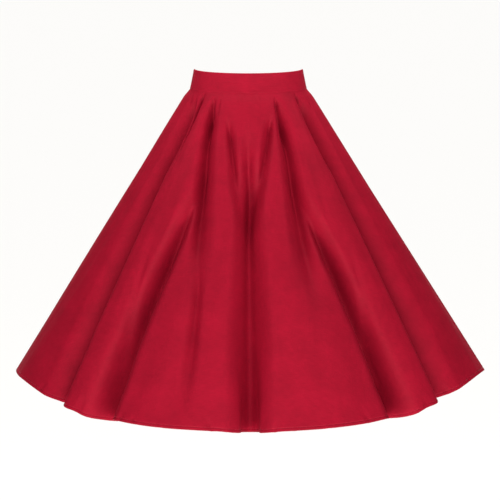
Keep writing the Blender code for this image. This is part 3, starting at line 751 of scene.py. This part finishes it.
# %% [markdown]
# ## The three panels
# The front has more columns than a back, since it is twice as wide and carries the
# folds that the photograph shows. Each panel stands for one solid, which it hides,
# and rides on the skirt's body, so that it moves as that solid does.
# %% Make the three panels
FRONT_COLUMNS = 316
BACK_COLUMNS = 176
FRONT_ROWS = 124
BACK_ROWS = 110
PANEL_ROWS = (
    # name, node, left edge, right edge, columns, rows
    ("front_panel", "skirt_front", -SIDE_SEAM, SIDE_SEAM, FRONT_COLUMNS, FRONT_ROWS),
    ("back_right_panel", "skirt_back_right", SIDE_SEAM, CENTRE_BACK, BACK_COLUMNS, BACK_ROWS),
    ("back_left_panel", "skirt_back_left", -CENTRE_BACK, -SIDE_SEAM, BACK_COLUMNS, BACK_ROWS),
)
for name, node, left_edge, right_edge, columns, rows in PANEL_ROWS:
    panel = skirt_panel(name, left_edge, right_edge, columns, rows)
    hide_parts(node)
    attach(panel, BODY)
    print(name, len(panel.data.polygons), "faces")

# %% [markdown]
# ## Waistband
# The band is a strip folded double over a stiffener, so it is thick, holds its
# shape and has soft rolled edges. The top edge is the fold. At the foot the
# seam allowances are pressed up inside, which lifts the band a little just above
# the seam. A short table gives that section, and a curve through it gives as many
# rows as the light needs. A second table has the small dents of a band that was
# worn, most of them near its ends, where the photograph shows them.
# %% Section and dents of the waistband
BAND_SECTION = (
    # share of the height, outer face and inner face beyond the band's middle outline, mm
    (1.000, -0.35, -1.50),
    (0.985, 0.25, -2.00),
    (0.955, 0.62, -2.30),
    (0.900, 0.75, -2.40),
    (0.820, 0.50, -2.40),
    (0.600, 0.40, -2.40),
    (0.350, 0.45, -2.40),
    (0.180, 0.45, -2.50),
    (0.110, 0.50, -2.70),
    (0.060, 0.85, -2.80),
    (0.025, 0.80, -2.80),
    (0.008, 0.60, -2.60),
    (0.000, 0.45, -2.20),
)
BAND_DENTS = (
    # angle, share of the height, half width and half height in mm, depth in mm
    (-66.0, 0.62, 4.0, 12.0, 1.5),
    (67.0, 0.70, 4.0, 11.0, 1.6),
    (78.0, 0.66, 3.5, 10.0, 1.2),
    (-80.0, 0.34, 12.0, 2.4, 1.2),
    (79.0, 0.34, 12.0, 2.4, 1.2),
    (-14.0, 0.52, 40.0, 2.2, 0.45),
    (18.0, 0.74, 36.0, 2.0, 0.40),
    (26.0, 0.34, 30.0, 2.0, 0.40),
    (-150.0, 0.55, 9.0, 5.0, 0.6),
    (146.0, 0.48, 10.0, 5.0, 0.6),
    (112.0, 0.60, 16.0, 2.4, 0.4),
    (-118.0, 0.42, 16.0, 2.4, 0.4),
)
print("the band stands out up to", max(row[1] for row in BAND_SECTION), "mm")

# %% [markdown]
# ## The form of the waistband
# The band's middle is an oval at each height, narrower at the top than at the seam,
# as a shaped band is. One face lies outside that and one inside, by the section's
# distances. Each back half ends at the zip, so its edge stands half a slit away.
# %% Waistband functions
BAND_ROWS = 44
BAND_EDGE_DEGREES = (0.0, 0.15, 0.35, 0.60, 1.0, 1.8)
BAND_SMOOTHING = (0.1, 0.2, 0.4, 0.2, 0.1)
INNER_DENT_SHARE = 0.3    # how much of a dent still shows on the inner face


def band_point(angle, share):
    """A point of the band's middle outline, at a share of its height."""
    across, ahead = np.sin(np.radians(angle)), -np.cos(np.radians(angle))
    width = SEAM_HALF_WIDTH + (WAIST_HALF_WIDTH - SEAM_HALF_WIDTH) * share
    depth = SEAM_HALF_DEPTH + (WAIST_HALF_DEPTH - SEAM_HALF_DEPTH) * share
    height = BAND_HEIGHT * (share - 1.0) - waist_dip(angle)
    return np.stack([width * across, depth * ahead, height], axis=-1)


def band_relief(angle, share, edges):
    """How far the dents and the rolled edges move the band's face."""
    height = np.zeros_like(angle)
    speed = np.hypot(WAIST_HALF_WIDTH * np.cos(np.radians(angle)),
                     WAIST_HALF_DEPTH * np.sin(np.radians(angle)))
    for centre, place, half_width, half_height, depth in BAND_DENTS:
        across = np.radians(angle - centre) * speed / MILLIMETRE
        up = (share - place) * BAND_HEIGHT / MILLIMETRE
        height = height - depth * MILLIMETRE * dome(across / half_width) * dome(up / half_height)
    for edge in edges:
        away = np.abs(np.radians(angle - edge)) * speed
        height = height - EDGE_ROLL * (1.0 - smooth(0.0, EDGE_ROLL_WIDTH, away))
    return height


def band_faces():
    """Shares of the band's height, closer at both ends, and its two faces there in millimetres."""
    section = np.array(BAND_SECTION)[::-1]
    spread = np.linspace(0.0, 1.0, BAND_ROWS)
    shares = (0.5 - 0.5 * np.cos(math.pi * spread))[::-1]
    faces = [np.interp(shares, section[:, 0], section[:, column]) for column in (1, 2)]
    return shares, *(np.convolve(np.pad(face, 2, mode="edge"), BAND_SMOOTHING, "valid")
                     for face in faces)


def band_piece(name, left_edge, right_edge, columns):
    """One piece of the waistband as a closed shell."""
    edge = np.array(BAND_EDGE_DEGREES)
    angles = even_between(columns, left_edge + edge, (right_edge - edge)[::-1])
    shares, outer_face, inner_face = band_faces()
    angle, share = np.meshgrid(angles, shares)
    for side, edge_angle in ((1.0, left_edge), (-1.0, right_edge)):
        gap = ZIP_SLIT if math.isclose(abs(edge_angle), CENTRE_BACK) else CLOSED_SEAM
        shift = side * math.degrees(gap / 2.0 / WAIST_HALF_DEPTH)
        angle = angle + shift * smooth(EDGE_SHIFT_DEGREES, 0.0, np.abs(angle - edge_angle))
    middle = band_point(angle, share)
    out = -way_out(band_point, angle, share)
    lift = band_relief(angle, share, (left_edge, right_edge))
    outer_lift = outer_face[:, None] * MILLIMETRE + lift
    inner_lift = inner_face[:, None] * MILLIMETRE + lift * INNER_DENT_SHARE
    outer = middle + out * outer_lift[..., None]
    inner = middle + out * inner_lift[..., None]
    along = np.radians(angle) * (WAIST_HALF_WIDTH + WAIST_HALF_DEPTH) / 2.0
    places = np.stack([along, share * BAND_HEIGHT], axis=-1)
    return shell(name, outer, inner, places, sateen)


print("height of the band's top at the centre back:",
      round(float(band_point(np.array(CENTRE_BACK), np.array(1.0))[2]), 4), "m")

# %% [markdown]
# ## The three pieces of the waistband
# The front is one piece from side seam to side seam, and the back is in two halves
# that the zip joins. A closed ring would be simpler, but it would leave no slit.
# %% Make the waistband
BAND_PIECES = (
    # name, node, left edge, right edge, columns
    ("front_band", "waistband_front", -SIDE_SEAM, SIDE_SEAM, 150),
    ("back_right_band", "waistband_back_right", SIDE_SEAM, CENTRE_BACK, 80),
    ("back_left_band", "waistband_back_left", -CENTRE_BACK, -SIDE_SEAM, 80),
)
for name, node, left_edge, right_edge, columns in BAND_PIECES:
    band = band_piece(name, left_edge, right_edge, columns)
    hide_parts(node)
    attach(band, BODY)
    print(name, len(band.data.polygons), "faces")

# %% [markdown]
# ## Many small things from one
# A hem has over a thousand stitches and a zip has hundreds of turns. Each kind is
# modelled once, as a rounded rod that arches a little, and copied along a line.
# Joining the copies in one mesh keeps the file light, and numpy sets all of
# them in place at once.
# %% Rods along a line
ROD_SIDES = 6
ROD_RINGS = (
    # place along the rod, size of the ring there, both as shares
    (-0.5, 0.0),
    (-0.42, 0.72),
    (-0.20, 1.0),
    (0.20, 1.0),
    (0.42, 0.72),
    (0.5, 0.0),
)


def rod(length, radius, arch):
    """Points and faces of a rounded rod along X that arches up along Z."""
    points = []
    for place, size in ROD_RINGS:
        rise = arch * (1.0 - (2.0 * place) ** 2)
        ring = 1 if size == 0.0 else ROD_SIDES
        for side in range(ring):
            turn = 2.0 * math.pi * side / ROD_SIDES
            points.append((place * length, radius * size * math.cos(turn),
                           rise + radius * size * math.sin(turn)))
    faces = []
    last = len(points) - 1
    for side in range(ROD_SIDES):
        after = (side + 1) % ROD_SIDES
        faces.append((0, 1 + after, 1 + side))
        for ring in range(len(ROD_RINGS) - 3):
            start = 1 + ring * ROD_SIDES
            faces.append((start + side, start + after,
                          start + ROD_SIDES + after, start + ROD_SIDES + side))
        faces.append((last, last - ROD_SIDES + side, last - ROD_SIDES + after))
    return np.array(points), faces


def copies(name, shape, places, along, up, material):
    """The same small shape at many places, each turned along a line and up from its face."""
    points, faces = shape
    along = along / np.linalg.norm(along, axis=-1, keepdims=True)
    side = np.cross(up, along)
    side = side / np.linalg.norm(side, axis=-1, keepdims=True)
    upright = np.cross(along, side)
    turned_points = (places[:, None]
                     + points[None, :, :1] * along[:, None]
                     + points[None, :, 1:2] * side[:, None]
                     + points[None, :, 2:] * upright[:, None])
    count = len(points)
    all_faces = [tuple(corner + index * count for corner in face)
                 for index in range(len(places)) for face in faces]
    return link_mesh(name, turned_points.reshape(-1, 3), all_faces, material)


def spaced(line, pitch, *others):
    """Values at even distances along a line of points."""
    steps = np.linalg.norm(np.diff(line, axis=0), axis=1)
    reached = np.concatenate([[0.0], np.cumsum(steps)])
    stops = np.arange(pitch / 2.0, reached[-1], pitch)
    return [np.stack([np.interp(stops, reached, values[:, axis]) for axis in range(3)], axis=-1)
            for values in (line, *others)]


print("one rod has", len(rod(1.0, 0.1, 0.0)[0]), "points")

# %% [markdown]
# ## Sewing thread
# Sewing thread is spun polyester of two or three plies, dyed to match the cloth.
# It is smoother than cotton and a little darker, and its twisted plies break up
# the light, which a fine noise in colour and bump gives.
# %% Spun polyester thread
THREAD_RED = "#8E1024"
THREAD_LIGHT = "#A31A2E"
PLY_MM = 0.25
PLY_HEIGHT = 0.05 * MILLIMETRE

thread, tree, shader = new_material("polyester_thread_red")
spot = add_node(tree, "ShaderNodeTexCoord")
ply = add_node(tree, "ShaderNodeTexNoise", Vector=spot.outputs["Object"],
               Scale=per_metre(PLY_MM), Detail=1.0)
thread_tone = add_node(tree, "ShaderNodeMix", {"data_type": "RGBA"}, Factor=ply.outputs["Fac"],
                       _6=linear(THREAD_RED), _7=linear(THREAD_LIGHT))
tree.links.new(thread_tone.outputs[2], shader.inputs["Base Color"])
ply_bump = add_node(tree, "ShaderNodeBump", Height=ply.outputs["Fac"], Distance=PLY_HEIGHT)
tree.links.new(ply_bump.outputs["Normal"], shader.inputs["Normal"])
shader.inputs["Roughness"].default_value = 0.42
shader.inputs["Specular IOR Level"].default_value = 0.35
print("plies", PLY_MM, "mm apart")

# %% [markdown]
# ## The hem's stitches
# The hem is a narrow one, turned twice and sewn by machine from the inside. What
# shows outside is a row of short stitches a few millimetres above the edge. A dark
# line in the material would do from here, but close up each stitch should catch
# the light. At this distance one is far smaller than a pixel, and only the row reads.
# %% Hem stitches
STITCH_PITCH = 0.0030
STITCH_LENGTH = 0.0024
STITCH_RADIUS = 0.00022
STITCH_ARCH = 0.00008
STITCH_SINK = 0.00006
STITCH_SAMPLES = 2400
STITCH_MARGIN_DEGREES = 0.25


def hem_stitches(name, left_edge, right_edge):
    """A panel's row of stitches, in the groove that they draw into the hem."""
    angles = np.linspace(left_edge + STITCH_MARGIN_DEGREES, right_edge - STITCH_MARGIN_DEGREES,
                         STITCH_SAMPLES)
    falls = np.full_like(angles, 1.0 - HEM_STITCH_RISE / SKIRT_LENGTH)
    out = way_out(folded_point, angles, falls)
    raised = relief(angles, falls, (left_edge, right_edge))
    line = folded_point(angles, falls) + out * raised[:, None]
    ahead = np.gradient(line, axis=0)
    places, along, up = spaced(line, STITCH_PITCH, ahead, out)
    places = places + up * (STITCH_RADIUS / 2.0 - STITCH_SINK)
    stitch = rod(STITCH_LENGTH, STITCH_RADIUS, STITCH_ARCH)
    return copies(name, stitch, places, along, up, thread)


for name, node, left_edge, right_edge, columns, rows in PANEL_ROWS:
    stitches = hem_stitches(name.replace("panel", "hem_stitches"), left_edge, right_edge)
    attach(stitches, BODY)
    print(stitches.name, len(stitches.data.polygons), "faces")

# %% [markdown]
# ## The zip
# A concealed zip is sewn behind the seam of the centre back, so from outside
# only a fine slit and the pull tab show. Inside there are two woven tapes and a
# coil: one nylon thread wound into turns along each tape, which lock into each
# other. The turns are rods laid across, left and right by turns. Everything is
# placed by its distance from the top edge and from the middle of the back.
# %% Places behind the slit
TAPE_WIDTH = 0.0110
TAPE_WALL = 0.0008
TAPE_DEPTH = 0.0033
COIL_WIDTH = 0.0064
COIL_TOP = 0.0150


def back_place(across, distance, depth):
    """A point behind the centre back, and the way out of the cloth there."""
    share = np.clip(1.0 - distance / BAND_HEIGHT, 0.0, 1.0)
    middle = np.full_like(across, CENTRE_BACK)
    fall = np.maximum(distance - BAND_HEIGHT, 0.0) / slant_length(middle)
    on_band = (distance <= BAND_HEIGHT)[..., None]

    def surface(angle):
        return np.where(on_band, band_point(angle, share), folded_point(angle, fall))

    degree = np.linalg.norm(surface(middle + 0.5) - surface(middle - 0.5), axis=-1)
    angle = middle - across / degree
    out = np.where(on_band, -way_out(band_point, angle, share), way_out(folded_point, angle, fall))
    return surface(angle) - out * depth, out


print("tapes lie", TAPE_DEPTH / MILLIMETRE, "mm behind the face of the cloth")

# %% [markdown]
# ## Woven tape
# Zip tape is woven polyester with fine ribs along its length. It is matt, and its
# ribs show as thin stripes of light and shade.
# %% Woven polyester tape
TAPE_RED = "#8C1023"
TAPE_LIGHT = "#A01A2E"
RIB_MM = 1.78             # three ribs, since single ones are too fine to show
RIB_HEIGHT = 0.15 * MILLIMETRE
WAVE_REPEAT = 2.0 * math.pi / 20.0     # a wave texture of scale 1 repeats after this length

tape_cloth, tree, shader = new_material("woven_polyester_tape_red")
tape_uv = add_node(tree, "ShaderNodeUVMap", {"uv_map": "cut"})
ribs = add_node(tree, "ShaderNodeTexWave", {"wave_type": "BANDS", "bands_direction": "X"},
                Vector=tape_uv.outputs["UV"], Scale=per_metre(RIB_MM) * WAVE_REPEAT,
                Distortion=0.3, Detail=1.0)
rib_bump = add_node(tree, "ShaderNodeBump", Height=ribs.outputs["Fac"], Distance=RIB_HEIGHT)
tape_tone = add_node(tree, "ShaderNodeMix", {"data_type": "RGBA"}, Factor=ribs.outputs["Fac"],
                     _6=linear(TAPE_RED), _7=linear(TAPE_LIGHT))
tree.links.new(tape_tone.outputs[2], shader.inputs["Base Color"])
tree.links.new(rib_bump.outputs["Normal"], shader.inputs["Normal"])
shader.inputs["Roughness"].default_value = 0.80
shader.inputs["Specular IOR Level"].default_value = 0.20
print("ribs drawn", RIB_MM, "mm apart")

# %% [markdown]
# ## Nylon
# The coil is a nylon thread that was wound round a mandrel and heat set, so it is
# smooth and rather glossy. Nylon takes dye well, with only a faint unevenness.
# %% Dyed nylon
NYLON_RED = "#951327"
NYLON_LIGHT = "#A8182E"
DYE_MM = 3.0

nylon, tree, shader = new_material("nylon_coil_red")
spot = add_node(tree, "ShaderNodeTexCoord")
dye = add_node(tree, "ShaderNodeTexNoise", Vector=spot.outputs["Object"],
               Scale=per_metre(DYE_MM), Detail=1.0)
dye_tone = add_node(tree, "ShaderNodeMix", {"data_type": "RGBA"}, Factor=dye.outputs["Fac"],
                    _6=linear(NYLON_RED), _7=linear(NYLON_LIGHT))
tree.links.new(dye_tone.outputs[2], shader.inputs["Base Color"])
shader.inputs["Roughness"].default_value = 0.32
shader.inputs["Specular IOR Level"].default_value = 0.50
print("dye varies over", DYE_MM, "mm")

# %% [markdown]
# ## Zip tapes
# Each tape is a narrow ribbon beside the coil, sewn to the back of the seam. It
# follows the waistband and then the skirt, so its grid is placed by the same
# function as the coil, and it is a thin shell like the other cloth.
# %% Zip tapes
TAPE_ROWS = 70
TAPE_COLUMNS = 12
tape_inner = COIL_WIDTH / 2.0 + SEAM_GAP


def zip_tape(name, left, right):
    """One tape, between two distances from the middle of the back."""
    across, distance = np.meshgrid(np.linspace(left, right, TAPE_COLUMNS),
                                   np.linspace(ZIP_TOP, ZIP_TOP + ZIP_LENGTH, TAPE_ROWS))
    front, out = back_place(across, distance, TAPE_DEPTH)
    places = np.stack([across, distance], axis=-1)
    return shell(name, front, front - out * TAPE_WALL, places, tape_cloth)


TAPE_SIDES = (
    # name, node, side
    ("right_zip_tape", "zip_tape_right", 1.0),
    ("left_zip_tape", "zip_tape_left", -1.0),
)
for name, node, side in TAPE_SIDES:
    left, right = sorted((side * tape_inner, side * (tape_inner + TAPE_WIDTH)), reverse=True)
    tape = zip_tape(name, left, right)
    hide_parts(node)
    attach(tape, BODY)
    print(name, len(tape.data.polygons), "faces")

# %% [markdown]
# ## Zip coil
# Closed, the turns of the two rows lie between each other, one from the right and
# the next from the left. The solid is one plain strip. Here each turn is a rod of
# its own, which bends away from the cloth and reaches a little past the middle.
# %% Zip coil
COIL_PITCH = 0.00062
TURN_LENGTH = 0.0040
TURN_RADIUS = 0.00034
TURN_PLACE = 0.00105
TURN_ARCH = -0.0003
ASIDE_STEP = 0.0005


def coil_turns(name):
    """Turns of both rows, one mesh: each reaches from its own tape past the middle."""
    distances = np.arange(COIL_TOP, ZIP_TOP + ZIP_LENGTH, COIL_PITCH)
    sides = np.where(np.arange(len(distances)) % 2 == 0, 1.0, -1.0)
    depth = TAPE_DEPTH + TURN_RADIUS
    places, out = back_place(sides * TURN_PLACE, distances, depth)
    aside, _ = back_place(sides * TURN_PLACE + ASIDE_STEP, distances, depth)
    turn = rod(TURN_LENGTH, TURN_RADIUS, TURN_ARCH)
    return copies(name, turn, places, aside - places, out, nylon)


coil = coil_turns("zip_coil_turns")
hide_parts("zip_coil")
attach(coil, BODY)
print(coil.name, len(coil.data.polygons), "faces")

# %% [markdown]
# ## Stitches of the coil
# A row of chain stitches on each side holds the coil to its tape. They lie on the
# coil's inner face, the one towards the wearer's back, so they point the other way
# from the hem's. They are the same rod again, shorter and thinner.
# %% Stitches of the coil
CHAIN_PITCH = 0.0016
CHAIN_LENGTH = 0.0015
CHAIN_RADIUS = 0.00018
CHAIN_ARCH = 0.0001
CHAIN_LIFT = 0.00035
CHAIN_PLACE = 0.36        # how far from the middle, as a share of the coil's width


def tape_seams(name):
    """The two rows of stitches that hold the coil to its tapes."""
    rows = []
    for side in (-1.0, 1.0):
        distances = np.arange(COIL_TOP, ZIP_TOP + ZIP_LENGTH, CHAIN_PITCH)
        across = np.full_like(distances, side * COIL_WIDTH * CHAIN_PLACE)
        rows.append(back_place(across, distances, TAPE_DEPTH + 2.0 * TURN_RADIUS + CHAIN_LIFT))
    places = np.concatenate([row[0] for row in rows])
    up = -np.concatenate([row[1] for row in rows])
    along = np.concatenate([np.gradient(row[0], axis=0) for row in rows])
    stitch = rod(CHAIN_LENGTH, CHAIN_RADIUS, CHAIN_ARCH)
    return copies(name, stitch, places, along, up, thread)


seams = tape_seams("coil_stitches")
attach(seams, BODY)
print(seams.name, len(seams.data.polygons), "faces")

# %% [markdown]
# ## Painted zinc
# The slider and its pull are die-cast zinc, sprayed with paint to match the cloth.
# Sprayed paint dries glossy with a fine orange peel, and it wears paler on edges
# that fingers touch. The mesh's pointiness finds those edges.
# %% Painted zinc
PAINT_RED = "#9A1428"
PAINT_WORN = "#B0525C"
PEEL_MM = 0.6
PEEL_HEIGHT = 0.02 * MILLIMETRE
WEAR_START = 0.54         # pointiness, 0.5 on a flat face
WEAR_FULL = 0.62

painted_zinc, tree, shader = new_material("painted_zinc_red")
spot = add_node(tree, "ShaderNodeTexCoord")
orange_peel = add_node(tree, "ShaderNodeTexNoise", Vector=spot.outputs["Object"],
                       Scale=per_metre(PEEL_MM), Detail=2.0)
form = add_node(tree, "ShaderNodeNewGeometry")
edge_wear = add_node(tree, "ShaderNodeMapRange", Value=form.outputs["Pointiness"],
                     _1=WEAR_START, _2=WEAR_FULL)
paint_tone = add_node(tree, "ShaderNodeMix", {"data_type": "RGBA"},
                      Factor=edge_wear.outputs["Result"],
                      _6=linear(PAINT_RED), _7=linear(PAINT_WORN))
tree.links.new(paint_tone.outputs[2], shader.inputs["Base Color"])
peel_bump = add_node(tree, "ShaderNodeBump", Height=orange_peel.outputs["Fac"],
                     Distance=PEEL_HEIGHT)
tree.links.new(peel_bump.outputs["Normal"], shader.inputs["Normal"])
shader.inputs["Roughness"].default_value = 0.28
shader.inputs["Coat Weight"].default_value = 0.4
shader.inputs["Coat Roughness"].default_value = 0.12
print("orange peel", PEEL_MM, "mm wide")

# %% [markdown]
# ## Slider and pull
# The solids already have their working shape, so copies of them get what a casting
# has and a plain solid lacks: rounded edges. The pull rides on its own body,
# because it is the one hard piece that moves while the cloth keeps its shape.
# %% Rounded castings
CASTING_EDGE = 0.00022
WELD_DISTANCE = 0.00001
BEVEL_SEGMENTS = 3
BEVEL_ANGLE = 30.0
SHARP_ANGLE = 40.0


def casting(name, node):
    """A copy of a solid with rounded edges."""
    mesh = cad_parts[node].data.copy()
    mesh.name = name
    mesh.materials.clear()
    mesh.materials.append(painted_zinc)
    item = bpy.data.objects.new(name, mesh)
    bpy.context.collection.objects.link(item)
    weld = item.modifiers.new("weld", "WELD")
    weld.merge_threshold = WELD_DISTANCE
    bevel = item.modifiers.new("round", "BEVEL")
    bevel.width = CASTING_EDGE
    bevel.segments = BEVEL_SEGMENTS
    bevel.angle_limit = math.radians(BEVEL_ANGLE)
    graph = bpy.context.evaluated_depsgraph_get()
    rounded = bpy.data.meshes.new_from_object(item.evaluated_get(graph))
    item.modifiers.clear()
    item.data = rounded
    rounded.shade_smooth()
    rounded.set_sharp_from_angle(angle=math.radians(SHARP_ANGLE))
    return item


CASTINGS = (
    # name, node, body
    ("slider_casting", "zip_slider", BODY),
    ("pull_casting", "zip_pull", PULL_BODY),
)
for name, node, body in CASTINGS:
    piece = casting(name, node)
    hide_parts(node)
    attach(piece, body)
    print(name, len(piece.data.polygons), "faces")


# %% [markdown]
# ## Floor
# The photograph is a cut-out on white. A large sheet of pale matt paper, well below
# the hem, gives the same white behind the skirt from the camera's height, with no
# shadow near it. Uncoated paper has fibres that scatter light evenly, so it is rough
# with almost no reflection.
# %% Matt paper floor
FLOOR_HEIGHT = -1.80
FLOOR_HALF = 40.0
PAPER = "#F1F0EE"
PAPER_LIGHT = "#F5F4F2"
PAPER_FIBRE_MM = 3.0

paper, tree, shader = new_material("matt_paper_floor")
spot = add_node(tree, "ShaderNodeTexCoord")
fibre = add_node(tree, "ShaderNodeTexNoise", Vector=spot.outputs["Object"],
                 Scale=per_metre(PAPER_FIBRE_MM), Detail=2.0)
paper_tone = add_node(tree, "ShaderNodeMix", {"data_type": "RGBA"}, Factor=fibre.outputs["Fac"],
                      _6=linear(PAPER), _7=linear(PAPER_LIGHT))
tree.links.new(paper_tone.outputs[2], shader.inputs["Base Color"])
shader.inputs["Roughness"].default_value = 0.95
shader.inputs["Specular IOR Level"].default_value = 0.10
floor_corners = np.array([(x * FLOOR_HALF, y * FLOOR_HALF, FLOOR_HEIGHT)
                          for x, y in ((-1, -1), (1, -1), (1, 1), (-1, 1))])
floor = link_mesh("paper_floor", floor_corners, [(0, 1, 2, 3)], paper)
print("floor", abs(FLOOR_HEIGHT), "m below the waist")

# %% [markdown]
# ## Light
# The photograph is lit softly from the front, and its folds read because their sides
# turn away from that light. It is brightest at the middle of the hem. So the main
# lamp is a wide, low softbox in front, with its middle below the hem. Three small
# ones near the waist keep the band and the tops of the flutes bright. A broad light
# from behind and above whitens the paper and lights the back. The surround is nearly
# dark, since a bright one would fill the folds. Where a bounce of light between
# red faces fills them anyway, only a darker dye would make them deeper, so the
# cloth's colour is darker and the lamps stronger than they look.
# %% Light
SURROUND = "#FFFFFF"
SURROUND_STRENGTH = 0.01
SOFTBOX_ROWS = (
    # name, place, aim, width, height, watts
    ("front_softbox", (0.0, -2.60, -1.20), (0.0, 0.0, -1.20), 6.40, 1.10, 188.0),
    ("waist_softbox", (0.0, -0.10, 0.60), (0.0, -0.02, -0.20), 0.30, 0.30, 5.0),
    ("left_softbox", (-0.60, -0.25, 0.42), (-0.12, 0.0, -0.10), 0.30, 0.30, 2.6),
    ("right_softbox", (0.60, -0.25, 0.42), (0.12, 0.0, -0.10), 0.30, 0.30, 2.6),
)
BACK_LIGHT_PLACE = (0.0, 4.0, 4.2)
BACK_LIGHT_AIM = (0.0, 0.0, -0.60)
BACK_LIGHT_STRENGTH = 4.4
BACK_LIGHT_SPREAD = 30.0


def add_lamp(name, kind, place, aim, energy, settings):
    """A lamp that the camera doesn't see."""
    lamp_data = bpy.data.lights.new(name, kind)
    lamp_data.energy = energy
    for key, value in settings.items():
        setattr(lamp_data, key, value)
    lamp = bpy.data.objects.new(name, lamp_data)
    lamp.location = place
    lamp.rotation_euler = aimed(place, aim)
    lamp.visible_camera = False
    bpy.context.collection.objects.link(lamp)
    print(name, energy)


world = bpy.data.worlds.new("white_surround")
world.use_nodes = True
background = world.node_tree.nodes["Background"]
background.inputs["Color"].default_value = linear(SURROUND)
background.inputs["Strength"].default_value = SURROUND_STRENGTH
bpy.context.scene.world = world
for name, place, aim, width, height, watts in SOFTBOX_ROWS:
    add_lamp(name, "AREA", place, aim, watts,
             {"shape": "RECTANGLE", "size": width, "size_y": height})
add_lamp("back_light", "SUN", BACK_LIGHT_PLACE, BACK_LIGHT_AIM, BACK_LIGHT_STRENGTH,
         {"angle": math.radians(BACK_LIGHT_SPREAD)})
bpy.context.scene.view_settings.view_transform = "Standard"
